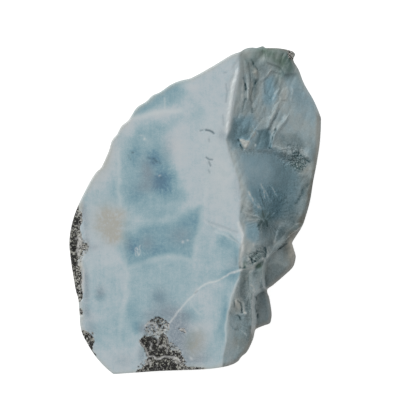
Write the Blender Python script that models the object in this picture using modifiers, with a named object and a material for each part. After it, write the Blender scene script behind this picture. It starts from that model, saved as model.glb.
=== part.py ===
"""Larimar slab: one flat piece of blue pectolite with its dark basalt matrix.

The slab lies on its sawn back. Its polished face looks up, its broken side is at +X and its
narrow end points to +Y. Lengths are in millimetres until the mesh is made, which is in metres.
Places on the stone are read from the photograph, in its pixels, and scaled by the stone's length.
"""

import bmesh
import bpy
import numpy as np

METRE = 0.001

# Driving dimensions, in mm
LENGTH = 91.9
THICKNESS = 24.0
CARVING_GRID = 0.7
TARGET_TRIANGLES = 8600
FACE_BEVEL = 0.15
FACE_BEVEL_WIDTH = 0.35
BREAK_ROUNDING = 1.3
BREAK_START = 2.5
PLATE_EDGE = 0.5
BASALT_EDGE = 1.4
LEDGE_RUN = 3.0
LOBE_SLOPE = 8.0
RUBBLE_WIDTH = 1.5
FILLET = 0.5
BACK_INSET = 2.6
BACK_CURVE_SHARE = 0.67
BACK_CURVE_POWER = 1.4
WALL_FACET = 11.0
WALL_FACET_DEPTH = 1.1
WALL_CREASE = 3.6
WALL_CREASE_DEPTH = 0.5
WALL_REACH = 8.0
WALL_HOLLOW_SHARE = 0.29
SPLINTER_WIDTH = 2.4
SPLINTER_LENGTH = 7.0
SPLINTER_DEPTH = 0.35

# Broken facets: how far they differ in level, stray from their cell's middle and curve, in cells
CHIP_STEP = 0.5
CHIP_SCATTER = 0.4
CHIP_CURVE = 1.3
CHIP_GAIN = 1.6
CHIP_LIFT = 0.2

# The stone's height in the photograph and the pixel that lies over the origin
PIXELS_LONG = 328.1
ORIGIN_PIXEL = (195.4, 210.0)
PIXEL = LENGTH / PIXELS_LONG

# Direction in which the stone splinters, a unit vector in the plane of the slab
SPLINTER_X = 0.36
SPLINTER_Y = 0.93

# Outline of the whole stone, clockwise from the narrow end, in pixels
OUTLINE = (
    (247, 48), (252, 47.3), (257, 47.6), (263, 45.9), (266, 47.6), (279, 48), (290, 50), (294, 52),
    (295.3, 54.5), (293.6, 60), (299, 69.5), (304.5, 83.5), (313.5, 99), (320.3, 114.5), (321.4, 122),
    (320.3, 142), (317.5, 161), (313.6, 181), (310.6, 200), (306.3, 216), (302, 227.5), (293.2, 241.5),
    (293.2, 245.5), (295.8, 254.5), (296, 259), (293.2, 267.5), (284.5, 276), (274, 285), (267.6, 290.5),
    (269.8, 299), (272, 313), (271.6, 320), (270, 324.2), (264.5, 326.2), (257.3, 329.2), (255.3, 331.5),
    (252.8, 340.3), (247.4, 351.5), (241.5, 357), (237.6, 361.8), (229, 365.8), (211.5, 368.7),
    (190, 370), (160, 371), (130, 373), (115, 374), (111.5, 372.6), (103, 365), (94, 354.2), (84, 337.5),
    (80.4, 326), (79.4, 312), (78.2, 299), (75.8, 290.5), (73.2, 275.5), (70.5, 257.5), (69.3, 243.5),
    (70.6, 230), (74, 216.5), (79, 203.5), (85.2, 191), (91.3, 179.5), (96.3, 172), (101.5, 167),
    (108.5, 151.5), (112, 140.5), (117, 134.3), (121.5, 126), (128.5, 120), (134.5, 110.5), (138, 106.5),
    (146.5, 101.2), (152.3, 95.5), (160, 92), (171, 84.5), (181, 80.4), (190, 78.3), (200, 73.3),
    (216.5, 63.8), (231, 55), (240, 51.8), (243.5, 49.6),
)

# Edge of the polished face along the broken side, top to bottom, in pixels
FACE_EDGE = (
    (236, 30), (236, 56), (229.5, 72), (226.5, 82), (227.5, 90), (225.5, 103), (223.3, 115), (225, 131),
    (225.3, 139.5), (228.5, 156), (235, 174), (238.5, 184), (239, 220), (238.6, 226), (243.3, 236),
    (239, 250), (238, 264), (240.5, 273), (239, 280), (234.5, 292), (228, 317), (226.5, 342),
    (223, 356), (221, 380),
)

# Outer edge of the shoulder, the strip that falls away gently beside the polished face
SHOULDER_EDGE = (
    (239, 30), (239, 70), (233.5, 93), (230, 116), (227, 135), (226, 140), (230, 150), (240, 170),
    (246, 186), (256, 205), (260, 224), (260, 240), (258, 247), (263, 255), (258, 262), (250, 267),
    (242, 269), (240, 280), (235.5, 292), (229, 317), (229, 342), (226, 356), (224, 380),
)

# Slopes of the shoulder and of the broken wall below it, at heights in the photograph
SLOPE_AT = (50, 132, 150, 170, 200, 215, 228, 262, 274, 300, 340)
SHOULDER_SLOPES = (0.08, 0.08, 0.35, 0.35, 0.35, 0.45, 0.6, 0.6, 0.5, 0.5, 0.5)
WALL_SLOPES = (1.05, 1.05, 0.45, 0.62, 1.2, 1.6, 2.4, 2.4, 1.3, 0.9, 0.8)

# Ledges that cross the broken side from the face to the rim, in pixels
UPPER_LEDGE = (
    (226, 140), (232, 145), (240, 148), (262, 148), (272, 147), (280, 150), (292, 154), (303, 157),
    (312, 160), (340, 158),
)
LOWER_LEDGE = (
    (340, 205), (300, 228.5), (291, 235), (279.3, 248.6), (271, 255), (266, 259), (257, 266), (238, 270),
)

# The two lobes that stick out low on the broken side, in pixels
LOBE_UPPER = (
    (340, 205), (300, 228.5), (291, 235), (279.3, 248.6), (271, 255), (266, 262), (265.5, 275),
    (266.5, 291), (300, 300), (340, 260),
)
LOBE_LOWER = ((271, 288), (262, 292), (257, 296), (256, 306), (257, 318), (256, 332), (300, 334), (300, 290))

# Heights of the broken surfaces: three points each, (pixel, pixel, mm above the back)
UPPER_FACE = ((250, 60, 21.3), (250, 150, 20.3), (318, 110, 14.8))
FOOT_FACE = ((232, 310, 22.6), (250, 310, 20.2), (240, 360, 20.0))
LOBE_UPPER_FACE = ((270, 262, 13.0), (296, 258, 10.8), (275, 284, 11.0))
LOBE_LOWER_FACE = ((257, 300, 9.5), (271, 310, 7.5), (262, 326, 7.5))

# Plates that stand above (+) or below (-) the surface round them: mm, then their corners in pixels
PLATES = (
    (0.6, ((281, 100), (277, 114), (269, 130), (266, 129), (268, 119), (276, 104))),
    (0.7, ((290, 113), (277, 126), (271, 137), (269, 148), (273, 149), (277, 135), (288, 121))),
    (0.4, ((283, 88), (289, 86), (291, 92), (287, 101), (280, 101), (279, 94))),
    (0.8, ((239, 139), (250, 141), (249, 147), (246, 149.5), (242, 147))),
    (0.7, ((258, 126), (256, 133), (250, 141), (249, 138), (254, 129))),
    (0.7, ((243, 58), (249, 62), (251, 80), (250, 100), (246, 104), (245, 80))),
    (0.5, ((252, 72), (258, 69), (259, 77), (255, 85), (252, 80))),
    (-0.5, ((271, 70), (282, 73), (279, 90), (272, 101), (264, 93), (263, 80))),
    (0.8, ((262, 40), (300, 40), (300, 62), (295, 74), (284, 76), (280, 68), (266, 63))),
    (-0.7, ((241, 272), (249, 272), (250, 290), (246, 300), (240, 297), (239, 284))),
    (0.7, ((249, 289), (257, 292), (257, 318), (255, 330), (249, 326))),
    (0.5, ((235, 298), (241, 299), (246, 311), (240, 314), (235, 307))),
    (-0.25, ((206, 220), (214, 231), (228, 236), (240, 243), (239, 232), (224, 226))),
)

# Basalt that meets the polished face, worn below it: mm, then its corners in pixels
BASALT = (
    (-0.6, ((60, 196), (80, 204), (84, 228), (87, 246), (82, 262), (80, 285), (83, 300), (60, 305))),
    (-0.5, ((76, 328), (88, 332), (95, 340), (90, 349), (80, 345))),
    (-0.5, ((135, 380), (138, 371), (148, 360), (141, 340), (147, 323), (157, 316), (166, 323), (168, 340),
            (180, 350), (184, 363), (206, 368), (206, 380))),
)

# The scoop: its middle in pixels, its lowest level, curvature and tilt, how it rounds into the wall
SCOOP_CENTRE = (281, 192)
SCOOP_FLOOR = 12.8
SCOOP_CURVE_X = 0.035
SCOOP_CURVE_Y = 0.008
SCOOP_TILT_X = -0.08
SCOOP_TILT_Y = 0.12
SCOOP_FILLET = 4.5
SCOOP_BLEND = 3.0

# How much of the splinters each zone has: share, softness in pixels, then its corners in pixels
CALM_ZONES = (
    (0.25, 4, ((238, 152), (276, 152), (300, 172), (304, 200), (292, 228), (262, 222), (248, 190))),
    (0.5, 5, ((258, 74), (290, 76), (288, 130), (276, 148), (240, 150), (248, 118), (258, 100))),
    (0.25, 5, ((292, 80), (322, 115), (318, 150), (280, 145), (287, 110))),
    (0.3, 3, ((244, 222), (262, 222), (262, 246), (247, 244))),
    (0.5, 3, ((228, 312), (256, 318), (248, 350), (225, 362))),
    (0.0, 1, LOBE_UPPER),
    (0.1, 1, LOBE_LOWER),
)


def spot(pixel_x, pixel_y):
    """A pixel of the photograph as a place on the slab."""
    return (pixel_x - ORIGIN_PIXEL[0]) * PIXEL, (ORIGIN_PIXEL[1] - pixel_y) * PIXEL


def places(pixels):
    return np.array([spot(*pixel) for pixel in pixels])


def smooth(low, high, value):
    """From 0 to 1 as the value goes from low to high, with no corner at either end."""
    share = np.clip((value - low) / (high - low), 0, 1)
    return share * share * (3 - 2 * share)


def depth_inside(x, y, loop):
    """Distance from each point to a closed outline, positive inside it."""
    nearest = np.full(x.shape, np.inf)
    inside = np.zeros(x.shape, bool)
    for (ax, ay), (bx, by) in zip(loop, np.roll(loop, -1, axis=0)):
        ex, ey = bx - ax, by - ay
        along = np.clip(((x - ax) * ex + (y - ay) * ey) / (ex * ex + ey * ey), 0, 1)
        nearest = np.minimum(nearest, np.hypot(x - ax - along * ex, y - ay - along * ey))
        if ay != by:
            crosses = ((ay > y) != (by > y)) & (x < ax + ex * (y - ay) / ey)
            inside ^= crosses
    return np.where(inside, nearest, -nearest)


def beyond(x, y, edge):
    """Distance past an edge that runs down the stone, on its broken side, and negative before it."""
    side = np.vstack([places(edge), places(((400, edge[-1][1]), (400, edge[0][1])))])
    return depth_inside(x, y, side)


def plane(x, y, corners):
    """Height of the plane through three (pixel, pixel, mm) points."""
    matrix = np.array([(*spot(px, py), 1) for px, py, _ in corners])
    slope_x, slope_y, level = np.linalg.solve(matrix, np.array([corner[2] for corner in corners]))
    return level + slope_x * x + slope_y * y


def cut(height, x, y, zone, surface, slope):
    """Lowers the stone to a surface inside a zone, with a wall of this slope round it."""
    outside = np.maximum(-depth_inside(x, y, zone), 0)
    return np.minimum(height, surface + outside * slope)


def zones(x, y, base, table):
    """A value that changes softly into each zone's own."""
    value = np.full(x.shape, float(base))
    for level, soft, corners in table:
        depth = depth_inside(x, y, places(corners)) / PIXEL
        value = value + (level - value) * smooth(-soft, soft, depth)
    return value


def rounded_max(a, b, width):
    """The higher of two surfaces, with the crease between them filled over this difference in height."""
    fill = np.clip(1 - np.abs(a - b) / width, 0, 1)
    return np.maximum(a, b) + width * fill * fill / 4


def chance(ix, iy, iz, seed):
    """A repeatable number from 0 to 1 for each cell of a grid."""
    mixed = ix.astype(np.uint32) * np.uint32(374761393) + iy.astype(np.uint32) * np.uint32(668265263)
    mixed = mixed + iz.astype(np.uint32) * np.uint32(2246822519) + np.uint32(seed * 974711 + 12345)
    mixed = (mixed ^ (mixed >> np.uint32(13))) * np.uint32(1274126177)
    mixed = (mixed ^ (mixed >> np.uint32(15))) * np.uint32(2654435761)
    return (mixed >> np.uint32(8)) / float(1 << 24)


def chips(x, y, z, seed):
    """Tilted facets that meet in creases, one for each cell of a scattered grid, from about -1 to 1."""
    ix, iy, iz = (np.floor(value).astype(np.int64) for value in (x, y, z))
    highest = np.full(x.shape, -np.inf)
    for step in np.ndindex(3, 3, 3):
        cell = (ix + step[0] - 1, iy + step[1] - 1, iz + step[2] - 1)
        draw = [chance(*cell, seed + k) * 2 - 1 for k in range(5)]
        dx, dy, dz = (
            value - at - 0.5 - CHIP_SCATTER * shift for value, at, shift in zip((x, y, z), cell, draw)
        )
        facet = CHIP_STEP * draw[3] + draw[4] * dx + draw[2] * dy - CHIP_CURVE * (dx * dx + dy * dy + dz * dz)
        highest = np.maximum(highest, facet)
    return highest * CHIP_GAIN + CHIP_LIFT


def broken_surface(x, y):
    """Height of the stone where the face ends: shoulder, steep wall, facets, scoop, ledges and lobes."""
    pixel_y = ORIGIN_PIXEL[1] - y / PIXEL
    shoulder_slope = np.interp(pixel_y, SLOPE_AT, SHOULDER_SLOPES)
    wall_slope = np.interp(pixel_y, SLOPE_AT, WALL_SLOPES)
    shoulder = THICKNESS - shoulder_slope * np.maximum(beyond(x, y, FACE_EDGE), 0)
    wall = shoulder - wall_slope * np.maximum(beyond(x, y, SHOULDER_EDGE), 0)

    dx, dy = x - spot(*SCOOP_CENTRE)[0], y - spot(*SCOOP_CENTRE)[1]
    scoop = SCOOP_FLOOR + SCOOP_CURVE_X * dx ** 2 + SCOOP_CURVE_Y * dy ** 2
    scoop = scoop + SCOOP_TILT_X * dx + SCOOP_TILT_Y * dy
    below_upper = places(UPPER_LEDGE + ((340, 400), (100, 400), (100, 140)))
    below_lower = places(LOWER_LEDGE + ((100, 270), (100, 400), (340, 400)))

    floor = plane(x, y, UPPER_FACE)
    floor = floor + (scoop - floor) * smooth(0, LEDGE_RUN, depth_inside(x, y, below_upper))
    foot = smooth(-RUBBLE_WIDTH, RUBBLE_WIDTH, depth_inside(x, y, below_lower))
    floor = floor + (plane(x, y, FOOT_FACE) - floor) * foot
    in_scoop = smooth(0, SCOOP_BLEND, depth_inside(x, y, below_upper)) * (1 - foot)
    height = rounded_max(wall, floor, FILLET + SCOOP_FILLET * in_scoop)
    height = np.minimum(shoulder, height)
    height = cut(height, x, y, places(LOBE_UPPER), plane(x, y, LOBE_UPPER_FACE), LOBE_SLOPE)
    return cut(height, x, y, places(LOBE_LOWER), plane(x, y, LOBE_LOWER_FACE), LOBE_SLOPE)


def stone_height(x, y):
    """Height of the stone's upper side above its back."""
    height = broken_surface(x, y)
    for edge, table in ((PLATE_EDGE, PLATES), (BASALT_EDGE, BASALT)):
        for rise, corners in table:
            height = height + rise * np.clip(depth_inside(x, y, places(corners)) / edge, 0, 1)

    along, across = x * SPLINTER_X + y * SPLINTER_Y, x * SPLINTER_Y - y * SPLINTER_X
    splinters = chips(across / SPLINTER_WIDTH, along / SPLINTER_LENGTH, height / SPLINTER_LENGTH, 3)
    broken = np.clip(beyond(x, y, FACE_EDGE) / BREAK_START, 0, 1)
    height = height + SPLINTER_DEPTH * splinters * broken * zones(x, y, 1, CALM_ZONES)

    rim = depth_inside(x, y, places(OUTLINE))
    rounding = FACE_BEVEL_WIDTH + (BREAK_ROUNDING - FACE_BEVEL_WIDTH) * broken
    depth = FACE_BEVEL + (BREAK_ROUNDING - FACE_BEVEL) * broken
    height = height - depth * np.clip(1 - rim / rounding, 0, 1) ** 2
    return np.minimum(height, THICKNESS)


def carve(points):
    """Gives the sawn block its broken side, its worn rim and its chipped walls."""
    x, y, block_z = points.T
    share = block_z / THICKNESS
    z = share * stone_height(x, y)

    radius = np.hypot(x, y) + 1e-9
    facets = chips(x / WALL_FACET, y / WALL_FACET, z / WALL_FACET, 11)
    creases = chips(x / WALL_CREASE, y / WALL_CREASE, z / WALL_CREASE, 29)
    hollow = WALL_FACET_DEPTH * (1 - facets) + WALL_CREASE_DEPTH * (1 - creases)
    inset = BACK_INSET * np.clip(1 - share / BACK_CURVE_SHARE, 0, 1) ** BACK_CURVE_POWER
    inset = inset + np.maximum(hollow, 0) * np.clip((1 - share) / WALL_HOLLOW_SHARE, 0, 1)
    rim = np.clip(1 - depth_inside(x, y, places(OUTLINE)) / WALL_REACH, 0, 1)
    pull = inset * rim / radius
    return np.stack([x - x * pull, y - y * pull, z], axis=1)


def sawn_block(collection):
    """The outline cut through the whole thickness, as a mesh."""
    curve = bpy.data.curves.new("outline", "CURVE")
    curve.dimensions = "2D"
    curve.fill_mode = "BOTH"
    curve.extrude = THICKNESS / 2 * METRE
    spline = curve.splines.new("POLY")
    spline.points.add(len(OUTLINE) - 1)
    spline.use_cyclic_u = True
    for point, (x, y) in zip(spline.points, places(OUTLINE) * METRE):
        point.co = (x, y, 0, 1)
    guide = bpy.data.objects.new("outline", curve)
    collection.objects.link(guide)
    graph = bpy.context.evaluated_depsgraph_get()
    mesh = bpy.data.meshes.new_from_object(guide.evaluated_get(graph))
    bpy.data.objects.remove(guide)

    shape = bmesh.new()
    shape.from_mesh(mesh)
    bmesh.ops.remove_doubles(shape, verts=shape.verts, dist=1e-6)
    bmesh.ops.translate(shape, verts=shape.verts, vec=(0, 0, THICKNESS / 2 * METRE))
    shape.to_mesh(mesh)
    shape.free()
    return mesh


def applied(obj):
    """The object's mesh with its modifiers applied."""
    graph = bpy.context.evaluated_depsgraph_get()
    mesh = bpy.data.meshes.new_from_object(obj.evaluated_get(graph))
    obj.modifiers.clear()
    return mesh


def make_stone(collection):
    stone = bpy.data.objects.new("larimar_slab", sawn_block(collection))
    collection.objects.link(stone)
    grid = stone.modifiers.new("grid", "REMESH")
    grid.mode = "VOXEL"
    grid.voxel_size = CARVING_GRID * METRE
    stone.data = applied(stone)

    mesh = stone.data
    points = np.empty(len(mesh.vertices) * 3, np.float32)
    mesh.vertices.foreach_get("co", points)
    points = points.reshape(-1, 3).astype(float) / METRE
    points[:, 2] = np.clip(points[:, 2], 0, THICKNESS)
    mesh.vertices.foreach_set("co", (carve(points) * METRE).astype(np.float32).ravel())

    thin = stone.modifiers.new("thin", "DECIMATE")
    thin.ratio = TARGET_TRIANGLES / (2 * len(mesh.polygons))
    thin.use_collapse_triangulate = True
    stone.data = applied(stone)
    return stone


def stone_material():
    material = bpy.data.materials.new("larimar")
    material.use_nodes = True
    shader = material.node_tree.nodes["Principled BSDF"]
    shader.inputs["Base Color"].default_value = (0.42, 0.52, 0.56, 1)
    shader.inputs["Roughness"].default_value = 0.4
    shader.inputs["Metallic"].default_value = 0
    return material


def main():
    for obj in list(bpy.data.objects):
        bpy.data.objects.remove(obj)
    collection = bpy.data.collections.new("larimar slab")
    bpy.context.scene.collection.children.link(collection)
    stone = make_stone(collection)
    stone.data.materials.append(stone_material())


main()
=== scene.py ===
"""Looks of the larimar slab: the fine broken surface, the markings of the stone with painted shade and
glints among them, and the studio.

Lengths are in millimetres until the mesh is made, which is in metres. Places on the stone are
read from the photograph, in its pixels, and scaled by the stone's length. Most lists of
places are of three kinds:

zones: (value, softness in pixels, corners in pixels), each laid softly over those before it
spots: (pixel x, pixel y, radius x, radius y, amount[, turn in degrees]), added to each other
lines: (half width in pixels, amount, points in pixels), of which the strongest counts
"""

import math

import bpy
import numpy as np
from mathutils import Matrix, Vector
from mathutils.geometry import delaunay_2d_cdt

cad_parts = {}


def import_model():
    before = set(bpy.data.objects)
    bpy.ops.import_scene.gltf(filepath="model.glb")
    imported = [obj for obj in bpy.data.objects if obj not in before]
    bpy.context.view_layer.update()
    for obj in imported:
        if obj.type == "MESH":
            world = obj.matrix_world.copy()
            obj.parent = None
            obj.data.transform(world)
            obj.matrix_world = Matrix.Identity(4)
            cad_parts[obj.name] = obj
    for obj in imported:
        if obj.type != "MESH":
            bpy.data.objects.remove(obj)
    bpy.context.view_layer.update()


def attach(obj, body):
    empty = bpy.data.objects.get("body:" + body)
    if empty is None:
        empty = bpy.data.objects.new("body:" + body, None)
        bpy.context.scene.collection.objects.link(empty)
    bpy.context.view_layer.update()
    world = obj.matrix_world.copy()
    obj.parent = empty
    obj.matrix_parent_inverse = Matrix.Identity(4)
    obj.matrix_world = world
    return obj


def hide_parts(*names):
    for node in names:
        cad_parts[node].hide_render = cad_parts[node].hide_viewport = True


METRE = 0.001
TINY = 1e-9

# Driving dimensions of the stone, in mm, the same as in the solid
LENGTH = 91.9
THICKNESS = 24.0
FACE_BEVEL = 0.15
FACE_BEVEL_WIDTH = 0.35
BREAK_ROUNDING = 1.3
BREAK_START = 2.5
PLATE_EDGE = 0.5
BASALT_EDGE = 1.4
LEDGE_RUN = 3.0
LOBE_SLOPE = 8.0
RUBBLE_WIDTH = 1.5
FILLET = 0.5
BACK_INSET = 2.6
BACK_CURVE_SHARE = 0.67
BACK_CURVE_POWER = 1.4
WALL_FACET = 11.0
WALL_FACET_DEPTH = 1.1
WALL_CREASE = 3.6
WALL_CREASE_DEPTH = 0.5
WALL_REACH = 8.0
WALL_HOLLOW_SHARE = 0.29
SPLINTER_WIDTH = 2.4
SPLINTER_LENGTH = 7.0
SPLINTER_DEPTH = 0.35

# Direction in which the stone splinters, a unit vector in the plane of the slab
SPLINTER_X = 0.36
SPLINTER_Y = 0.93

# Broken facets: how far they differ in level, stray from their cell's middle and curve, in cells
CHIP_STEP = 0.5
CHIP_SCATTER = 0.4
CHIP_CURVE = 1.3
CHIP_GAIN = 1.6
CHIP_LIFT = 0.2

# The stone's height in the photograph and the pixel that lies over the origin
PIXELS_LONG = 328.1
ORIGIN_PIXEL = (195.4, 210.0)
PIXEL = LENGTH / PIXELS_LONG

# Spacing of the mesh points in mm, rows down the wall, and the least room to the rim in spacings
FACE_SPACING = 0.30
BREAK_SPACING = 0.225
RIM_SPACING = 0.34
WALL_ROWS = 25
BACK_SPACING = 1.3
RIM_ROOM = 0.7
CURVE_STEPS = 12
MERGE_DISTANCE = 1e-7
SHARP_ANGLE = 50

# Outline of the whole stone, clockwise from the narrow end, in pixels
OUTLINE = (
    (247, 48), (252, 47.3), (257, 47.6), (263, 45.9), (266, 47.6), (279, 48), (290, 50), (294, 52),
    (295.3, 54.5), (293.6, 60), (299, 69.5), (304.5, 83.5), (313.5, 99), (320.3, 114.5), (321.4, 122),
    (320.3, 142), (317.5, 161), (313.6, 181), (310.6, 200), (306.3, 216), (302, 227.5), (293.2, 241.5),
    (293.2, 245.5), (295.8, 254.5), (296, 259), (293.2, 267.5), (284.5, 276), (274, 285), (267.6, 290.5),
    (269.8, 299), (272, 313), (271.6, 320), (270, 324.2), (264.5, 326.2), (257.3, 329.2), (255.3, 331.5),
    (252.8, 340.3), (247.4, 351.5), (241.5, 357), (237.6, 361.8), (229, 365.8), (211.5, 368.7),
    (190, 370), (160, 371), (130, 373), (115, 374), (111.5, 372.6), (103, 365), (94, 354.2), (84, 337.5),
    (80.4, 326), (79.4, 312), (78.2, 299), (75.8, 290.5), (73.2, 275.5), (70.5, 257.5), (69.3, 243.5),
    (70.6, 230), (74, 216.5), (79, 203.5), (85.2, 191), (91.3, 179.5), (96.3, 172), (101.5, 167),
    (108.5, 151.5), (112, 140.5), (117, 134.3), (121.5, 126), (128.5, 120), (134.5, 110.5), (138, 106.5),
    (146.5, 101.2), (152.3, 95.5), (160, 92), (171, 84.5), (181, 80.4), (190, 78.3), (200, 73.3),
    (216.5, 63.8), (231, 55), (240, 51.8), (243.5, 49.6),
)

# Edge of the polished face along the broken side, top to bottom, in pixels
FACE_EDGE = (
    (236, 30), (236, 56), (229.5, 72), (226.5, 82), (227.5, 90), (225.5, 103), (223.3, 115), (225, 131),
    (225.3, 139.5), (228.5, 156), (235, 174), (238.5, 184), (239, 220), (238.6, 226), (243.3, 236),
    (239, 250), (238, 264), (240.5, 273), (239, 280), (234.5, 292), (228, 317), (226.5, 342),
    (223, 356), (221, 380),
)

# Outer edge of the shoulder, the strip that falls away gently beside the polished face
SHOULDER_EDGE = (
    (239, 30), (239, 70), (233.5, 93), (230, 116), (227, 135), (226, 140), (230, 150), (240, 170),
    (246, 186), (256, 205), (260, 224), (260, 240), (258, 247), (263, 255), (258, 262), (250, 267),
    (242, 269), (240, 280), (235.5, 292), (229, 317), (229, 342), (226, 356), (224, 380),
)

# Slopes of the shoulder and of the broken wall below it, at heights in the photograph
SLOPE_AT = (50, 132, 150, 170, 200, 215, 228, 262, 274, 300, 340)
SHOULDER_SLOPES = (0.08, 0.08, 0.35, 0.35, 0.35, 0.45, 0.6, 0.6, 0.5, 0.5, 0.5)
WALL_SLOPES = (1.05, 1.05, 0.45, 0.62, 1.2, 1.6, 2.4, 2.4, 1.3, 0.9, 0.8)

# Ledges that cross the broken side from the face to the rim, in pixels
UPPER_LEDGE = (
    (226, 140), (232, 145), (240, 148), (262, 148), (272, 147), (280, 150), (292, 154), (303, 157),
    (312, 160), (340, 158),
)
LOWER_LEDGE = (
    (340, 205), (300, 228.5), (291, 235), (279.3, 248.6), (271, 255), (266, 259), (257, 266), (238, 270),
)

# All that lies below each ledge: the ledge's line, closed round the foot
BELOW_UPPER = UPPER_LEDGE + ((340, 400), (100, 400), (100, 140))
BELOW_LOWER = LOWER_LEDGE + ((100, 270), (100, 400), (340, 400))

# The two lobes that stick out low on the broken side, in pixels: the upper one starts at the ledge
LOBE_UPPER = LOWER_LEDGE[:5] + ((266, 262), (265.5, 275), (266.5, 291), (300, 300), (340, 260))
LOBE_LOWER = (
    (271, 288), (262, 292), (257, 296), (256, 306), (257, 318), (256, 332), (300, 334), (300, 290),
)

# Heights of the broken surfaces: three points each, (pixel, pixel, mm above the back)
UPPER_FACE = ((250, 60, 21.3), (250, 150, 20.3), (318, 110, 14.8))
FOOT_FACE = ((232, 310, 22.6), (250, 310, 20.2), (240, 360, 20.0))
LOBE_UPPER_FACE = ((270, 262, 13.0), (296, 258, 10.8), (275, 284, 11.0))
LOBE_LOWER_FACE = ((257, 300, 9.5), (271, 310, 7.5), (262, 326, 7.5))

# Plates that stand above (+) or below (-) the surface round them: mm, then their corners in pixels
PLATES = (
    (0.6, ((281, 100), (277, 114), (269, 130), (266, 129), (268, 119), (276, 104))),
    (0.7, ((290, 113), (277, 126), (271, 137), (269, 148), (273, 149), (277, 135), (288, 121))),
    (0.4, ((283, 88), (289, 86), (291, 92), (287, 101), (280, 101), (279, 94))),
    (0.8, ((239, 139), (250, 141), (249, 147), (246, 149.5), (242, 147))),
    (0.7, ((258, 126), (256, 133), (250, 141), (249, 138), (254, 129))),
    (0.7, ((243, 58), (249, 62), (251, 80), (250, 100), (246, 104), (245, 80))),
    (0.5, ((252, 72), (258, 69), (259, 77), (255, 85), (252, 80))),
    (-0.5, ((271, 70), (282, 73), (279, 90), (272, 101), (264, 93), (263, 80))),
    (0.8, ((262, 40), (300, 40), (300, 62), (295, 74), (284, 76), (280, 68), (266, 63))),
    (-0.7, ((241, 272), (249, 272), (250, 290), (246, 300), (240, 297), (239, 284))),
    (0.7, ((249, 289), (257, 292), (257, 318), (255, 330), (249, 326))),
    (0.5, ((235, 298), (241, 299), (246, 311), (240, 314), (235, 307))),
    (-0.25, ((206, 220), (214, 231), (228, 236), (240, 243), (239, 232), (224, 226))),
)

# Basalt that meets the polished face, worn below it: mm, then its corners in pixels
BASALT = (
    (-0.6, ((60, 196), (80, 204), (84, 228), (87, 246), (82, 262), (80, 285), (83, 300), (60, 305))),
    (-0.5, ((76, 328), (88, 332), (95, 340), (90, 349), (80, 345))),
    (-0.5, ((135, 380), (138, 371), (148, 360), (141, 340), (147, 323), (157, 316), (166, 323), (168, 340),
            (180, 350), (184, 363), (206, 368), (206, 380))),
)

# The scoop: its middle in pixels, its lowest level, curvature and tilt, how it rounds into the wall
SCOOP_CENTRE = (281, 192)
SCOOP_FLOOR = 12.8
SCOOP_CURVE_X = 0.035
SCOOP_CURVE_Y = 0.008
SCOOP_TILT_X = -0.08
SCOOP_TILT_Y = 0.12
SCOOP_FILLET = 4.5
SCOOP_BLEND = 3.0

# Zones: how much of the splinters each has
CALM_ZONES = (
    (0.25, 4, ((238, 152), (276, 152), (300, 172), (304, 200), (292, 228), (262, 222), (248, 190))),
    (0.5, 5, ((258, 74), (290, 76), (288, 130), (276, 148), (240, 150), (248, 118), (258, 100))),
    (0.25, 5, ((292, 80), (322, 115), (318, 150), (280, 145), (287, 110))),
    (0.3, 3, ((244, 222), (262, 222), (262, 246), (247, 244))),
    (0.5, 3, ((228, 312), (256, 318), (248, 350), (225, 362))),
    (0.0, 1, LOBE_UPPER),
    (0.1, 1, LOBE_LOWER),
)

# Zones: how much of the small chips each has
ROUGH_ZONES = (
    (0.5, 5, ((236, 50), (264, 50), (262, 78), (252, 118), (230, 118))),
    (0.12, 5, ((236, 152), (276, 150), (300, 170), (304, 200), (292, 228), (262, 216), (246, 190))),
    (0.3, 5, ((292, 80), (322, 115), (318, 150), (280, 145), (285, 110))),
    (0.1, 2, ((268, 252), (298, 236), (298, 268), (272, 290), (265, 280))),
    (0.1, 2, ((257, 292), (276, 290), (276, 330), (257, 330))),
    (0.3, 3, ((246, 222), (262, 222), (262, 244), (247, 240))),
)

# Zones: crystal rubble on the broken side
CRYSTAL_ZONES = (
    (0.5, 3, ((272, 150), (283, 148), (290, 142), (300, 145), (306, 153), (311, 160), (310, 168),
        (300, 174), (286, 168), (278, 160))),
    (1, 2, ((279, 154), (290, 157), (296, 150), (304, 155), (309, 161), (303, 170), (294, 168),
        (285, 161))),
    (0.15, 3, ((232, 124), (246, 124), (252, 136), (240, 150), (232, 144))),
    (0.3, 2, ((242, 149), (285, 150), (285, 156), (262, 156), (244, 154))),
    (0.3, 4, ((258, 186), (272, 184), (284, 196), (282, 212), (274, 224), (260, 226), (255, 214))),
    (0, 2, ((247, 224), (256, 223), (259, 230), (258, 240), (254, 242), (248, 238))),
    (0.13, 3, ((241, 242), (258, 242), (260, 224), (268, 222), (272, 248), (262, 292), (256, 330),
        (250, 350), (226, 366), (224, 350), (230, 312), (239, 270))),
    (0.9, 2, ((248, 253), (257, 249), (264, 246), (268, 254), (262, 264), (254, 266), (247, 262))),
)
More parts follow.
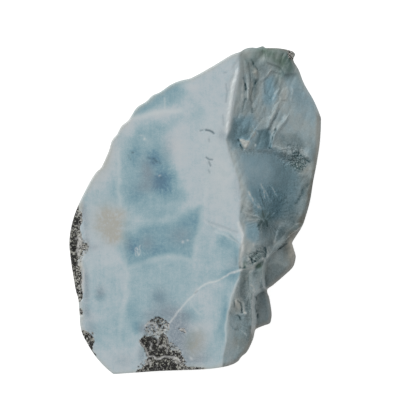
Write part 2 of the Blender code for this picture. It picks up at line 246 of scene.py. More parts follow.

# Strokes on the broken side, the dark ones partly painted shade in creases and the small bright ones
# painted glints: half width in pixels, tone, height in mm, points in pixels
STROKES = (
    (0.9, 0.5, 0.15, ((261, 79), (266, 76.5), (269, 73), (271, 69))),
    (0.9, 0.45, 0.15, ((279, 89), (275, 94), (273, 99))),
    (0.8, 0.5, 0.18, ((292, 88), (293, 91), (291, 100))),
    (1, 0.4, 0.1, ((280, 97), (280.5, 103))),
    (0.9, -0.7, -0.25, ((251.5, 59), (254, 64), (257.5, 69))),
    (0.9, -0.8, -0.25, ((245.5, 84), (245.7, 89), (244.8, 93))),
    (1.2, -0.35, -0.15, ((244, 78), (246, 88), (246, 100))),
    (1, -0.3, -0.12, ((245.5, 99), (243.5, 106), (242, 112))),
    (1.1, -0.35, -0.15, ((257, 80), (253, 87), (251, 98), (252.5, 112))),
    (1, 0.3, 0.1, ((238.5, 104), (236.5, 112), (236, 121))),
    (1, 0.6, 0.2, ((249, 84), (248.5, 92), (247.5, 102))),
    (1.6, 0.4, 0.15, ((256, 70), (255.5, 77))),
    (1, 0.4, 0.15, ((243, 80), (242.5, 92), (243, 100))),
    (2, 0.35, 0.2, ((279.5, 105), (274, 114), (269, 125))),
    (1.8, 0.2, 0.2, ((288, 115), (279, 124), (275, 131), (272, 146))),
    (0.8, -0.9, -0.3, ((277, 127), (273.5, 136), (272, 142), (269.5, 148))),
    (0.9, -0.4, -0.15, ((279.5, 109), (276, 117), (272, 123), (270.5, 129))),
    (0.8, 0.5, 0.15, ((274, 129), (278, 126), (276.5, 128))),
    (1.3, 0.5, 0.2, ((257.5, 129), (254, 134), (250, 139))),
    (3, 0.7, 0.25, ((242, 141), (248, 142), (246, 146.5))),
    (0.8, -0.9, -0.25, ((238.5, 140), (240.5, 145), (243, 149))),
    # Painted glints: small bright highlights near the upper ledge
    (0.7, 0.9, 0.2, ((255.2, 144.5), (255.5, 145.5))),
    (0.7, 0.8, 0.2, ((257.4, 132), (257.8, 133.5))),
    (0.7, 0.7, 0.2, ((253, 126), (253.5, 128))),
    (1.2, 0.35, 0.2, ((271, 147), (277, 146.5), (283, 149), (290, 147))),
    (0.6, -0.5, -0.2, ((303, 158.5), (307, 160), (310, 162))),
    (1.6, -0.3, -0.15, ((309, 184), (305, 188), (301, 196), (297, 204))),
    (0.6, 0.8, 0.1, ((261, 184), (264, 190), (265, 198))),
    (0.8, -0.6, -0.15, ((259.5, 190), (262, 199), (264.5, 206))),
    (0.6, 0.6, 0.1, ((265, 188), (268, 196), (270, 203))),
    (0.6, 0.8, 0.1, ((270, 186), (274, 190), (277, 196))),
    (0.7, 0.5, 0.1, ((268, 195), (271, 199), (273, 204))),
    (0.9, 0.8, 0.12, ((249, 192), (253, 200), (258, 208))),
    (0.8, 0.6, 0.12, ((254, 196), (257, 202), (261, 209))),
    (0.6, 0.4, 0.1, ((258, 190), (262, 201), (264, 210))),
    (0.6, 0.45, 0.1, ((244, 212), (253, 215), (262, 218))),
    (0.5, 0.8, 0.1, ((265.5, 218.5), (268, 213), (269.5, 208))),
    (0.5, 0.7, 0.1, ((267, 219), (271, 215.5), (274, 213))),
    (0.5, 0.7, 0.1, ((264, 220), (262, 224), (261.5, 228))),
    (0.6, -0.9, -0.2, ((262.5, 221.5), (259.5, 225))),
    (0.6, -0.9, -0.2, ((266.5, 221), (268, 226))),
    (0.6, -0.8, -0.2, ((264, 216), (262.5, 211))),
    (0.6, 0.45, 0.1, ((243, 220), (254, 219.5), (263, 219))),
    (0.9, 0.35, 0.15, ((239, 200), (244, 204), (250, 208))),
    (0.8, -0.6, -0.15, ((243.5, 204), (242.5, 208), (241, 212))),
    (1.2, 0.5, 0.2, ((239, 222), (240, 228), (243, 235), (243, 242), (243.5, 248), (241, 256),
        (239, 262))),
    (1, 0.6, 0.15, ((277.5, 232), (276, 237), (275, 243))),
    (2, 0.3, 0.15, ((271, 252), (278, 245), (286, 239), (299, 230))),
    (0.8, -0.7, -0.3, ((278, 249.5), (284, 246), (291, 241))),
    (1.3, -1, -0.3, ((264.8, 248), (265.3, 250), (266.5, 252.5), (265.3, 256))),
    (0.9, 0.9, 0.2, ((269, 254.5), (268, 257))),
    (0.8, 0.8, 0.2, ((267, 250), (268, 252))),
    (0.8, 0.9, 0.2, ((261.5, 259.5), (263.5, 258.5))),
    (0.8, 0.9, 0.2, ((265, 260.8), (265.5, 262))),
    (0.9, -0.9, -0.3, ((250, 258), (251.5, 259.5))),
    (0.9, -0.9, -0.3, ((252, 260), (252.5, 263.5))),
    (0.8, -0.8, -0.3, ((255, 261.5), (256, 262))),
    (0.8, 0.9, 0.2, ((249, 259), (249.8, 260.2))),
    (0.8, 0.9, 0.2, ((251, 261), (251.3, 263))),
    (0.8, 0.7, 0.2, ((253, 257.5), (254.5, 260))),
    (0.8, 0.8, 0.2, ((248.3, 253.5), (249.5, 251))),
    # A painted glint
    (0.8, 1, 0.2, ((253.2, 244.2), (253.8, 245))),
    (1.6, -0.9, -0.2, ((256.5, 267), (259, 265), (262, 263))),
    (1.4, -0.7, -0.2, ((243, 268), (245, 266))),
    (0.9, -1, -0.2, ((240.3, 266.5), (240.5, 267.5))),
    (1, 0.7, 0.15, ((241, 270), (246, 269), (252, 268), (257, 264))),
    (0.9, 0.6, 0.15, ((246, 264.5), (248, 266))),
    (0.8, -0.7, -0.2, ((258.5, 226), (258.5, 229))),
    (1, 0.5, 0.2, ((246, 279), (250, 272), (256, 267))),
    (0.8, -0.6, -0.2, ((242, 262), (240.5, 267), (246, 268))),
    (0.8, 0.8, 0.2, ((251.5, 285), (253.5, 288), (254, 291))),
    (0.9, -1, -0.3, ((237.5, 300.5), (240.5, 303.5), (241.8, 308), (242.5, 312.5))),
    (0.8, -0.7, -0.2, ((234.3, 300), (234, 304), (234.5, 308))),
    (0.9, 1, 0.15, ((236, 299.5), (236, 303))),
    (1.1, 1, 0.15, ((243, 303), (243, 307), (243.8, 310.5), (245, 312.5))),
    (0.8, -0.8, -0.25, ((237.5, 315), (239, 317), (240, 319.5))),
    (1, 0.5, 0.12, ((236, 313), (241, 314.5), (246, 313))),
    (0.9, -0.7, -0.2, ((230.5, 324.5), (233, 328), (236, 329.5))),
    (0.9, -0.6, -0.2, ((237, 327), (238, 330))),
    (0.8, 0.6, 0.15, ((242, 331), (245, 334), (246, 336))),
    (0.9, 0.5, 0.1, ((237.5, 346), (238, 349))),
    (0.9, -0.9, -0.3, ((256, 297), (256.8, 300))),
    (0.8, 0.6, 0.2, ((257.8, 296), (257.8, 300))),
    (0.8, -0.5, -0.2, ((255.8, 305), (256.2, 313))),
    (0.7, -0.6, -0.2, ((258, 315), (258, 318))),
)

# Zones and spots: blueness of the polished face, from 0 white to 1.2 the deepest
BLUE_ZONES = (
    (0.58, 9, ((118, 134), (150, 120), (168, 124), (172, 150), (177, 185), (188, 204), (200, 208),
        (198, 214), (175, 219), (150, 226), (126, 228), (116, 205), (114, 165))),
    (0.36, 8, ((80, 190), (118, 180), (120, 205), (125, 212), (95, 206), (82, 212))),
    (0.72, 5, ((124, 232), (135, 226), (150, 224), (170, 222), (184, 214), (202, 206), (199, 225),
        (195, 245), (192, 259), (175, 256), (160, 255), (148, 261), (127, 267), (121, 256), (119, 246))),
    (0.47, 6, ((128, 268), (148, 262), (165, 257), (192, 260), (197, 285), (186, 300), (168, 318),
        (150, 318), (140, 330), (126, 328), (128, 300))),
    (0.42, 5, ((208, 224), (240, 244), (239, 262), (238, 272), (200, 290), (196, 285), (197, 255),
        (202, 232))),
    (0.42, 7, ((214, 290), (240, 276), (232, 300), (228, 318), (226, 345), (222, 360), (205, 366),
        (203, 352), (214, 330), (212, 312))),
    (0.56, 5, ((122, 120), (150, 96), (165, 84), (184, 74), (193, 84), (184, 99), (160, 107),
        (138, 115))),
    (0.36, 6, ((88, 325), (125, 318), (140, 330), (132, 350), (100, 352))),
    (0.36, 6, ((84, 262), (122, 268), (124, 318), (82, 312))),
)
BLUE_SPOTS = (
    (155, 159, 8, 9, 0.5), (163, 180, 8, 10, 0.55, -15), (162, 190, 9, 6, 0.15), (155, 180, 8, 8, 0.28),
    (135, 153, 6, 14, 0.22), (113, 190, 5, 13, 0.16), (178, 150, 8, 20, -0.22), (174, 180, 5, 9, 0.17),
    (122, 214, 8, 8, -0.12), (198, 114, 7, 11, 0.22), (97, 333, 9, 12, 0.12), (170, 92, 14, 6, 0.15, 32),
    (165, 114, 30, 4, -0.14, 15), (134, 241, 7, 8, 0.16), (158, 249, 9, 6, 0.2), (142, 354, 5, 14, 0.12),
    (195, 220, 7, 12, 0.1, -10), (160, 297, 7, 6, 0.34), (131, 310, 8, 9, 0.2), (136, 328, 6, 6, 0.4),
    (120, 335, 7, 7, 0.16), (236, 256, 4, 12, 0.22), (225, 242, 9, 9, 0.3), (231, 276, 10, 7, 0.45, 20),
    (224, 310, 3.5, 14, 0.3, -5), (188, 312, 8, 6, 0.22, 30), (190, 318, 14, 5, 0.2),
    (195, 308, 8, 12, 0.12), (192, 344, 8, 10, 0.1), (175, 195, 12, 7, 0.16),
    (104, 158, 8, 26, -0.22, -25), (124, 124, 8, 6, -0.2, 40), (128, 134, 8, 11, -0.25),
    (119, 162, 6, 18, -0.22, -10), (188, 87, 7, 5, -0.4), (178, 108, 10, 7, 0.14),
    (136, 217, 9, 6, -0.22), (176, 120, 8, 6, 0.16), (182, 206, 13, 6, -0.22), (115, 320, 18, 8, 0.13),
    (141, 109, 9, 5, 0.2, 40), (134, 231, 5, 7, -0.25), (134, 249, 5, 5, 0.25), (166, 141, 6, 9, -0.2),
    (214, 240, 6, 7, -0.2), (222, 332, 5, 12, 0.2), (143, 265, 7, 5, 0.22), (101, 296, 5, 5, 0.25),
    (137, 193, 9, 12, 0.2),
)
BASE_BLUE = 0.24

# Zones: blueness of the broken side
BROKEN_BLUE_ZONES = (
    (0.32, 8, ((236, 40), (300, 40), (310, 70), (262, 78), (250, 120), (228, 120))),
    (0.95, 4, ((266, 79), (274, 76), (276, 98), (270, 110), (263, 104))),
    (0.6, 6, ((280, 72), (296, 72), (318, 105), (316, 130), (296, 122), (292, 104), (286, 84))),
    (0.38, 8, ((262, 108), (300, 110), (320, 130), (316, 165), (270, 150), (256, 130))),
    (0.9, 5, ((232, 118), (252, 116), (258, 132), (250, 147), (232, 148), (228, 138))),
    (0.9, 3, ((256, 130), (270, 130), (274, 150), (256, 150))),
    (0.78, 6, ((238, 152), (276, 150), (296, 168), (301, 185), (296, 212), (270, 222), (256, 206),
        (246, 186))),
    (1.1, 5, ((250, 188), (272, 186), (284, 194), (282, 214), (268, 224), (256, 212))),
    (0.48, 5, ((246, 222), (260, 222), (272, 222), (292, 224), (284, 236), (262, 244), (247, 240))),
    (0.28, 6, ((268, 250), (298, 236), (298, 268), (272, 288), (264, 280))),
    (0.24, 6, ((228, 300), (256, 292), (256, 312), (240, 314), (228, 312))),
    (0.45, 5, ((227, 314), (246, 314), (254, 326), (248, 340), (238, 362), (222, 368))),
    (0.85, 3, ((246, 223), (258, 224), (260, 238), (254, 243), (247, 238))),
    (0.34, 5, ((256, 292), (276, 290), (276, 330), (256, 330))),
    (0.36, 4, ((248, 270), (259, 270), (258, 290), (250, 290))),
)
BASE_BROKEN_BLUE = 0.3

# Zones and spots: tone of the broken side, from -1 deep to 1 pale. Much of the dark tone is painted shade,
# below the upper ledge, in the hollows, the scoop and the rubble, under the overhang and on the recessed
# lobes; some pale tone is painted light on the scoop's upper left.
TONE_AND_SHADE_ZONES = (
    (-0.38, 5, ((247, 58), (256, 58), (260, 70), (258, 84), (254, 102), (252, 112), (247, 108),
        (248, 88))),
    (-0.25, 5, ((236, 98), (254, 98), (256, 110), (253, 121), (233, 120))),
    (-0.5, 3, ((231, 119), (246, 117), (252, 124), (250, 138), (243, 150), (236, 148), (227, 139))),
    (-0.55, 2, ((258, 130), (270, 128), (271, 149), (257, 149), (256, 138))),
    (-0.5, 2, ((250, 150), (251, 141), (257, 139), (262, 150))),
    (0.45, 1, ((239, 139.5), (249, 141), (250, 148), (243, 149))),
    # Partly painted shade below the upper ledge
    (-0.38, 4, ((248, 147), (285, 150), (290, 158), (262, 155), (246, 153))),
    (-0.45, 4, ((279, 48), (293, 50), (296, 66), (290, 78), (283, 78), (281, 62))),
    (-0.3, 3, ((281, 134), (300, 132), (305, 146), (300, 150), (284, 148))),
    # Partly painted shade in the crystal rubble
    (-0.62, 2, ((278, 153), (290, 154), (298, 150), (305, 156), (311, 161), (305, 168), (296, 173),
        (286, 168), (279, 161))),
    # The scoop, darkened partly by painted shade
    (-0.15, 7, ((242, 150), (276, 150), (296, 170), (304, 180), (300, 215), (290, 226), (262, 222),
        (256, 206), (247, 186))),
    (-0.38, 7, ((272, 158), (300, 172), (304, 200), (296, 226), (268, 224), (262, 208), (268, 184))),
    (-0.56, 7, ((282, 166), (302, 176), (303, 205), (294, 226), (276, 222), (275, 205), (280, 185))),
    (-0.5, 3, ((301, 176), (312, 172), (308, 205), (300, 228), (297, 226), (301, 205))),
    (-0.32, 2, ((259, 222), (290, 222), (294, 228), (280, 240), (268, 248), (260, 246))),
    # Painted shadow under the overhang at the lower right
    (-0.45, 2, ((292, 226), (303, 224), (300, 236), (290, 246), (284, 244), (286, 236))),
    (-0.05, 1.5, ((247, 224), (256, 223), (259.5, 230), (258.5, 240), (254, 242), (248, 238),
        (246, 230))),
    (0.2, 3, ((241, 222), (246, 224), (246, 236), (254, 242), (257, 248), (242, 256), (239, 266))),
    (-0.55, 3, ((256, 246), (264, 245), (268, 252), (262, 260), (252, 257))),
    # Partly painted shade on the recessed upper lobe
    (-0.22, 3, ((268, 250), (298, 236), (298, 268), (272, 288), (264, 280))),
    (-0.48, 1.5, ((266, 276), (268, 268), (274, 264), (281, 264), (287, 269), (284, 276), (270, 289),
        (265, 288))),
    (-0.25, 2, ((289, 236), (300, 236), (300, 268), (288, 270), (291, 252))),
    (-0.38, 3, ((240, 268), (247, 268), (248, 290), (246, 300), (242, 312), (235, 312), (236, 296),
        (240, 282))),
    (-0.3, 4, ((230, 314), (244, 314), (250, 326), (248, 340), (238, 350), (229, 340))),
    (-0.18, 3, ((249, 298), (256, 298), (256, 322), (249, 322))),
    # Partly painted shade on the recessed lower lobe
    (-0.45, 1.5, ((256.5, 296), (262, 292), (276, 290), (276, 330), (257, 330), (257, 312))),
)
TONE_AND_SHADE_SPOTS = (
    (265, 218, 5, 5, -0.5), (264, 232, 5, 8, -0.2), (242, 244, 3, 12, 0.3), (253, 330, 3, 14, -0.35),
    (252, 348, 4, 8, -0.3, 30), (285, 92, 5, 9, 0.25), (309, 173, 6, 4, 0.38, 35),
    (238, 304, 3, 6, 0.5, 20), (246, 55, 6, 5, 0.6), (255, 84, 4, 14, -0.35), (247, 90, 3, 12, 0.25),
    (262, 55, 5, 5, 0.3), (230, 336, 4, 8, 0.25), (312, 156, 4, 16, -0.3), (263, 67, 5, 8, -0.45),
    (238, 70, 4, 10, 0.3), (238, 96, 3, 13, 0.35, 8), (287, 62, 5, 7, -0.95), (278, 56, 5, 6, 0.3),
    (278, 88, 3.5, 12, -0.5, 10), (298, 96, 8, 10, -0.25), (265, 106, 6, 7, -0.1),
    (246, 104, 3, 5, -0.15), (246, 124, 5, 6, 0.35), (300, 142, 14, 7, -0.2), (245, 144, 6, 5, 0.4),
    # Painted light on the scoop's upper left, and painted shade lower in the scoop
    (268, 174, 7, 8, 0.2), (252, 170, 12, 12, 0.2), (254, 203, 5, 13, -0.2), (292, 216, 7, 14, -0.25),
    (262, 224, 4, 4, -0.5), (263, 288, 4, 4, -0.5), (268, 90, 26, 40, -0.06), (270, 228, 18, 6, -0.1),
    # Painted shadow under the overhang, beside the upper lobe
    (287, 254, 6, 8, -0.3), (293, 236, 8, 7, -0.35), (280, 233, 5, 5, -0.4), (287, 247, 6, 6, -0.45),
    (255, 273, 4, 6, -0.6), (262, 282, 4, 12, -0.35), (253, 296, 4, 5, -0.4), (247, 307, 4, 10, -0.7),
    (232, 328, 6, 10, 0.3), (250, 336, 4, 14, -0.3), (242, 346, 7, 8, -0.15), (246, 264, 3, 3, -0.2),
    (247, 273, 4, 3, 0.2), (263, 318, 4, 8, 0.25), (286, 160, 4, 4, 0.2), (253, 215, 6, 8, -0.3),
    (280, 140, 6, 9, -0.24), (269, 135, 3, 3, -0.2), (264, 124, 14, 9, -0.14), (238, 144, 4, 3, 0.3),
    (294, 152, 5, 4, -0.25), (246, 344, 4, 10, -0.2), (300, 169, 7, 3, -0.3), (246, 151, 12, 4, -0.28),
    (254, 261, 10, 6, -0.3), (230, 312, 3, 5, -0.2), (271, 233, 4, 4, 0.15), (278, 80, 6, 5, -0.15),
)

# Spots: tan stain
WARM_SPOTS = (
    (104, 162, 8, 26, 0.3, -25), (80, 266, 3, 11, 1), (160, 332, 4, 5, 0.7, -40), (80, 207, 3, 5, 0.6),
    (107, 216, 12, 11, 0.8, -20), (112, 228, 11, 10, 0.9), (114, 238, 10, 7, 0.7), (98, 227, 6, 8, 0.3),
    (121, 215, 6, 6, 0.45), (197, 341, 9, 12, 0.6, -20), (193, 350, 6, 7, 0.3), (238, 305, 3, 6, 0.6),
    (256, 72, 3, 4, 0.7), (251, 90, 2, 10, 0.4), (308, 169, 6, 3, 0.4, 35), (318, 135, 2, 25, 0.5),
    (285, 94, 5, 8, 0.25), (236, 344, 6, 6, 0.4), (246, 344, 5, 9, 0.3, 20), (292, 250, 5, 14, 0.9),
    (87, 246, 2, 5, 0.8), (253, 133, 4, 5, 0.4, 30), (220, 172, 14, 36, 0.1),
)

# Spots: grey clouds in the blue
GREY_SPOTS = (
    (146, 168, 7, 11, 0.7), (146, 186, 11, 7, 0.65, 10), (150, 175, 6, 6, 0.4), (168, 150, 7, 14, 0.3),
    (180, 236, 11, 9, 0.55), (147, 243, 7, 8, 0.6), (128, 245, 4, 6, 0.35), (160, 296, 8, 9, 0.6),
    (100, 293, 4.5, 6, 0.75), (94, 247, 6, 4, 0.4), (168, 312, 14, 9, 0.9), (150, 315, 9, 6, 0.45),
    (142, 328, 4, 5, 0.8), (90, 332, 6, 14, 0.5), (78, 268, 2.5, 12, 0.5), (185, 318, 8, 7, 0.7),
    (175, 339, 10, 13, 1.2), (174, 325, 8, 7, 0.6), (183, 330, 5, 5, 0.6), (184, 354, 6, 9, 0.5),
    (142, 356, 4, 9, 0.7), (85, 276, 3, 8, 0.7), (86, 292, 3, 12, 0.7), (86, 222, 4, 12, 0.5),
    (83, 210, 3, 7, 0.6), (87, 244, 3, 9, 0.7), (80, 268, 2.5, 9, 0.5), (86, 312, 4, 6, 0.6),
    (234, 266, 7, 10, 0.3), (204, 358, 8, 6, 0.25), (195, 345, 11, 16, 0.65), (124, 361, 11, 8, 0.3),
    (190, 361, 13, 5, 0.55), (152, 327, 8, 6, 1), (222, 135, 4, 6, 0.6), (237, 186, 4, 12, 0.3),
)

# Lines and spots: white veins and bands, clouds and specks
WHITE_LINES = (
    (1, 0.7, ((241, 269.5), (236, 271.5), (230, 274.5), (221.5, 279), (212, 282), (205, 284.5),
        (199, 288))),
    (0.8, 0.65, ((199, 288), (190, 298), (180, 309.5), (172, 319), (168, 325))),
    (1.5, 0.75, ((239, 222), (239.5, 228), (242, 234), (243.3, 239), (242.3, 243))),
    (1.6, 0.5, ((242, 246), (243, 250), (241, 256), (240, 262), (241, 266))),
    (0.8, 0.45, ((239.5, 277), (236, 284), (233, 292.5), (230, 303), (227, 314), (225.5, 328),
        (225, 342))),
    (0.5, 0.5, ((135, 255), (134.2, 250), (136, 247.5), (137.5, 250))),
    (0.5, 0.5, ((136.5, 252), (138, 256), (139.5, 252), (139, 247.5), (140, 245.5))),
    (3.3, 0.6, ((236, 74), (234.2, 84), (232, 96), (229.5, 112), (227, 130))),
    (2.4, 0.35, ((128, 121), (136, 117.5), (150, 114.5), (164, 111.5), (181, 111))),
    (1, 0.35, ((165, 98), (164.3, 104), (164, 110))),
    (1.8, 0.22, ((119, 150), (118.5, 175), (119.5, 205))),
    (3, 0.08, ((118, 216), (134, 221), (150, 221), (163, 219), (176, 215), (188, 209), (199, 204))),
    (2.2, 0.15, ((198, 212), (203, 207), (207, 190), (208, 175))),
    (2.4, 0.14, ((201, 212), (198, 232), (195, 248), (193, 262))),
    (2.2, 0.16, ((122, 246), (126, 262), (127, 282), (125.5, 300), (122, 310), (119, 330), (120, 345))),
    (2.4, 0.12, ((128, 268), (140, 265), (150, 259.5), (165, 257), (180, 258), (192, 261))),
    (0.8, 0.28, ((206, 222), (213, 226), (222, 230), (230, 233), (236, 238))),
    (0.8, 0.32, ((213, 231), (222, 234), (231, 238), (239, 243))),
    (0.9, 0.3, ((82, 262), (84, 270), (84, 282), (83.5, 292))),
    (0.9, 0.12, ((181, 310), (180.5, 322), (176, 328))),
    (0.9, 0.2, ((190, 300), (196, 310), (202, 316))),
)
WHITE_SPOTS = (
    (137, 251, 1.6, 4, 0.25), (160, 176, 1.2, 0.9, 0.5), (183.5, 242, 1.5, 1.5, 0.5),
    (188, 240.5, 1.2, 1, 0.5), (144, 139, 1.2, 1.2, 0.6), (141, 136, 3, 1, 0.3),
    (191, 358.5, 1, 1.8, 0.6), (148, 142, 5, 4, 0.15, 45), (222, 175, 14, 34, 0.25, 5),
    (210, 120, 14, 16, 0.12), (90, 268, 4, 6, 0.2), (112, 262, 8, 10, 0.12), (196, 330, 3, 3, 0.25),
    (204, 145, 8, 9, 0.1), (186, 83, 9, 5, 0.15),
)

# Lines: cracks in the polished face
CRACK_LINES = (
    (0.9, 0.95, ((206, 130), (210, 130.8), (212.5, 132), (214, 133.6))),
    (0.7, 0.6, ((200.5, 130.8), (203, 130.2))),
    (0.8, 0.7, ((206.5, 157.5), (209, 159.5), (212.5, 159.8))),
    (0.8, 0.6, ((209, 162), (210.8, 166))),
    (0.8, 0.3, ((208.5, 170), (210, 173))),
    (0.8, 0.35, ((209, 139), (209.5, 141.5))),
    (0.7, 0.4, ((195, 293.5), (197.5, 291))),
    (0.6, 0.3, ((221, 279.5), (222.5, 279))),
    (0.8, 0.7, ((132, 152.5), (133.6, 152.8))),
    (1.2, 0.6, ((154, 159), (157, 162))),
    (0.8, 0.5, ((148.5, 158), (151, 159))),
    (0.7, 0.45, ((153, 161.5), (154.5, 164))),
    (0.9, 0.4, ((159, 162), (161, 164))),
    (0.8, 0.4, ((161, 177), (162, 179))),
    (0.7, 0.3, ((128, 155), (131, 160))),
    (0.8, 0.3, ((226, 84), (227.2, 92), (226, 102))),
    (0.8, 0.25, ((223, 115), (223.5, 125))),
    (0.9, 0.3, ((236.5, 257), (236.5, 265))),
    (1.2, 0.2, ((230, 236), (235, 240), (239, 242.5))),
    (0.8, 0.25, ((224, 73), (226.5, 72.5))),
)

# Spots: green crust and green crystals
GREEN_SPOTS = (
    (272, 54, 12, 8, 0.9), (284, 62, 9, 8, 0.9), (290, 72, 7, 8, 0.35), (280, 74, 5, 9, 0.4),
    (300, 75, 5, 8, 0.3), (262, 52, 8, 6, 0.5), (248, 58, 10, 14, 0.35), (259, 265, 4, 3, 0.8),
    (244, 265, 4, 3, 0.8), (257, 256, 8, 5, 0.25), (246, 276, 6, 10, 0.25), (262, 270, 5, 8, 0.3),
    (145.5, 343, 3, 6, 1), (190, 342, 6, 12, 0.25), (265, 216, 6, 7, 0.5), (297, 165, 10, 6, 0.3),
    (238, 340, 14, 24, 0.1),
)

# Spots and zones: more rind, the weathered skin of the broken side, and where the rim has less. The
# strongest spots at the lower right are painted brown shadow under the overhang.
RIND_AND_SHADOW_SPOTS = (
    (294, 236, 8, 5, 1.2, -40), (292, 262, 5, 10, 0.5, 20), (254, 338, 4, 15, 0.8, 12),
    (246, 356, 6, 4, 0.5, -40), (308, 182, 4, 12, 0.4, 10), (302, 222, 4, 8, 0.6, 20),
    (287, 248, 6, 6, 0.5), (292, 53, 4, 5, 0.8),
)
RIND_ZONES = (
    (0.1, 5, ((288, 60), (312, 80), (328, 110), (314, 116), (298, 90))),
    (0.2, 4, ((238, 40), (268, 40), (266, 54), (240, 58))),
)

# Zones: how much basalt shows in the face and at the rim
BASALT_ZONES = (
    (0.5, 1.5, ((80, 236), (86, 240), (90, 244), (89.5, 251), (86, 256), (82, 262), (79, 262))),
    (1, 1, ((60, 203), (79, 205), (79, 211), (82.5, 213), (83, 220), (81, 225), (79.5, 229), (82, 234),
        (82.5, 240), (83, 243.5), (85.5, 243.5), (86.3, 246), (86, 249.5), (83.5, 250.5), (81, 256),
        (78, 259), (78, 264), (80.5, 267), (81.5, 274), (82, 279), (82.5, 297), (81, 301), (60, 302))),
    (1, 1, ((74, 308), (81, 307.5), (83, 311), (82, 316), (74, 315))),
    (0.9, 1.5, ((76, 330), (84, 330), (90, 334), (94, 338), (95, 342), (93, 346), (93, 350), (97, 356),
        (80, 350))),
    (0.7, 1, ((90, 332), (93, 332), (94.5, 335), (92, 335.5))),
    (0.5, 2, ((144, 329), (146, 322), (151, 318), (156, 315.5), (160, 316), (167, 318), (171, 324),
        (170.5, 330), (167, 335), (160, 334), (156, 337), (152, 332), (146, 333))),
    (0.58, 1.2, ((148, 321), (154, 316), (160, 316), (166, 318.5), (169, 325), (163, 330), (158, 324),
        (154, 320.5), (150, 322.5))),
    (0.5, 1.5, ((141, 338), (145, 332), (152, 330), (162, 331), (168, 338), (168, 344), (150, 346))),
    (0.45, 2, ((144, 345), (148, 350), (149, 362), (143, 367), (137, 371), (134, 369), (142, 361),
        (143, 352))),
    (0.52, 2.5, ((166, 339), (175, 341), (181, 348), (182, 354), (166, 354))),
    (0.68, 2, ((166, 350), (181, 350), (183, 356), (188, 363), (178, 366), (168, 360))),
    (1, 1.5, ((130, 380), (136, 371), (141, 369), (147, 363), (148, 358), (146.5, 352), (143.5, 347),
        (140.5, 343.5), (138.5, 340), (141, 338), (147, 337), (152, 336), (158, 341), (161, 336),
        (164, 335), (167.5, 339), (168, 345), (170, 350), (176, 354), (179, 357), (181, 362),
        (188, 366.5), (196, 368), (206, 368), (206, 380))),
    (0.6, 1.5, ((178, 327), (184, 327), (186.5, 331), (186, 334), (182, 333), (178, 331))),
    (0.9, 1.5, ((287, 47), (294, 47), (294, 60), (291, 60), (288, 56))),
)

# Spots: basalt with more (+) or fewer (-) pale grains
GRAIN_SPOTS = (
    (79.5, 242, 2.5, 12, 0.55), (152, 330, 4, 4, 0.6), (161, 338, 4, 4, -0.5), (162, 361, 7, 4, -0.6),
    (166, 328, 3, 4, 0.6), (74, 255, 3, 45, -0.5), (150, 337, 5, 4, -0.5), (150, 352, 4, 5, -0.6),
    (94, 344, 4, 5, -0.7), (166, 354, 5, 8, -0.9), (152, 342, 5, 6, -0.9), (160, 350, 6, 7, -0.3),
    (150, 368, 7, 3, -0.6), (172, 368, 8, 3, -0.8), (157, 321, 4, 6, -0.8), (144, 344, 3, 7, -0.4),
    (144, 366, 4, 3, 0.4), (78, 272, 3, 6, 0.3), (174, 360, 4, 3, 0.4),
)

# Lines: pale crust on the basalt
CRUST_LINES = (
    (0.7, 1, ((147, 352), (149, 356.5), (153, 356), (156.5, 359), (160, 358.5), (164, 356), (168, 357),
        (174, 357), (178, 359), (180.5, 362))),
    (0.7, 0.6, ((139.5, 341.5), (142, 345), (145.5, 348), (147.5, 353))),
    (0.8, 0.9, ((145, 326), (148, 323.5), (152, 323), (156, 325), (157, 328))),
    (0.7, 0.5, ((164, 335.5), (166.5, 337.5), (168, 341), (169, 344))),
    (0.7, 0.8, ((161, 348), (162, 346), (165, 345), (167, 348), (167, 352))),
    (0.7, 0.7, ((150, 342), (152, 344.5), (150, 347), (151, 350))),
    (0.7, 0.6, ((158, 336), (158.5, 341), (157, 345))),
    (0.8, 0.8, ((147, 364), (149.5, 360), (150.5, 363))),
    (0.6, 0.5, ((173, 358), (176, 362), (180, 363.5), (184, 366.5))),
    (0.7, 0.7, ((181, 329.5), (184, 329.5), (186, 333))),
    (0.8, 0.9, ((83, 270), (83.2, 276), (82.5, 284), (83.2, 292))),
    (0.8, 0.9, ((76, 239), (78, 237), (79.5, 241), (77.5, 245), (78.5, 249), (76.5, 252), (79, 255.5))),
    (0.7, 0.8, ((80.5, 233), (81.5, 238), (80.5, 243), (81, 248))),
)

# Centres of radiating crystals: pixel x, pixel y, reach in mm, streaks round the centre, amount
STARS = (
    (160, 178, 10, 60, 1.0), (134, 152, 7, 40, 0.8), (137, 246, 8, 44, 0.9), (183, 238, 8, 44, 0.8),
    (161, 298, 8, 40, 0.8), (188, 316, 8, 40, 0.9),
)
TAN_STARS = ((109, 226, 8, 44, 2.5),)
BROKEN_STARS = ((266, 219, 11, 70, 2.5),)
RELIEF_STARS = ((266, 219, 4, 64, 0.26),)

# Where the look of the polished face ends, in pixels, and how softly, in mm
COLOUR_EDGE = (
    (241, 30), (239.5, 58), (239.5, 70), (238, 82), (236, 94), (233.5, 106), (231, 118), (228, 132),
    (225.5, 140), (230, 156), (235, 170), (239, 184), (240.5, 198), (239, 220), (242, 228), (244, 236),
    (239, 250), (238, 264), (239.5, 273), (237.5, 280), (232.5, 292), (226.5, 315), (226, 342),
    (223, 356), (221, 380),
)
COLOUR_BLEND = (-0.2, 0.45)

# Fine relief of the mesh, in mm
CHIP_WIDTH = 0.9
CHIP_LENGTH = 2.6
CHIP_DEPTH = 0.12
CHIP_START = 0.8
GRAIN_DEPTH = 0.10
CRYSTAL = 0.55
CRYSTAL_DEPTH = 0.28
CRACK_DEPTH = 0.15
RAY_LENGTH = 2.4
RAY_DEPTH = 0.25
FINE_RAY_SHARE = 0.6
PIT = 1.1
PIT_SHARE = 0.7
BASALT_DEPTH = 0.28
RAGGED = 0.28
WALL_LUMP = 1.3
WALL_LUMP_DEPTH = 0.15

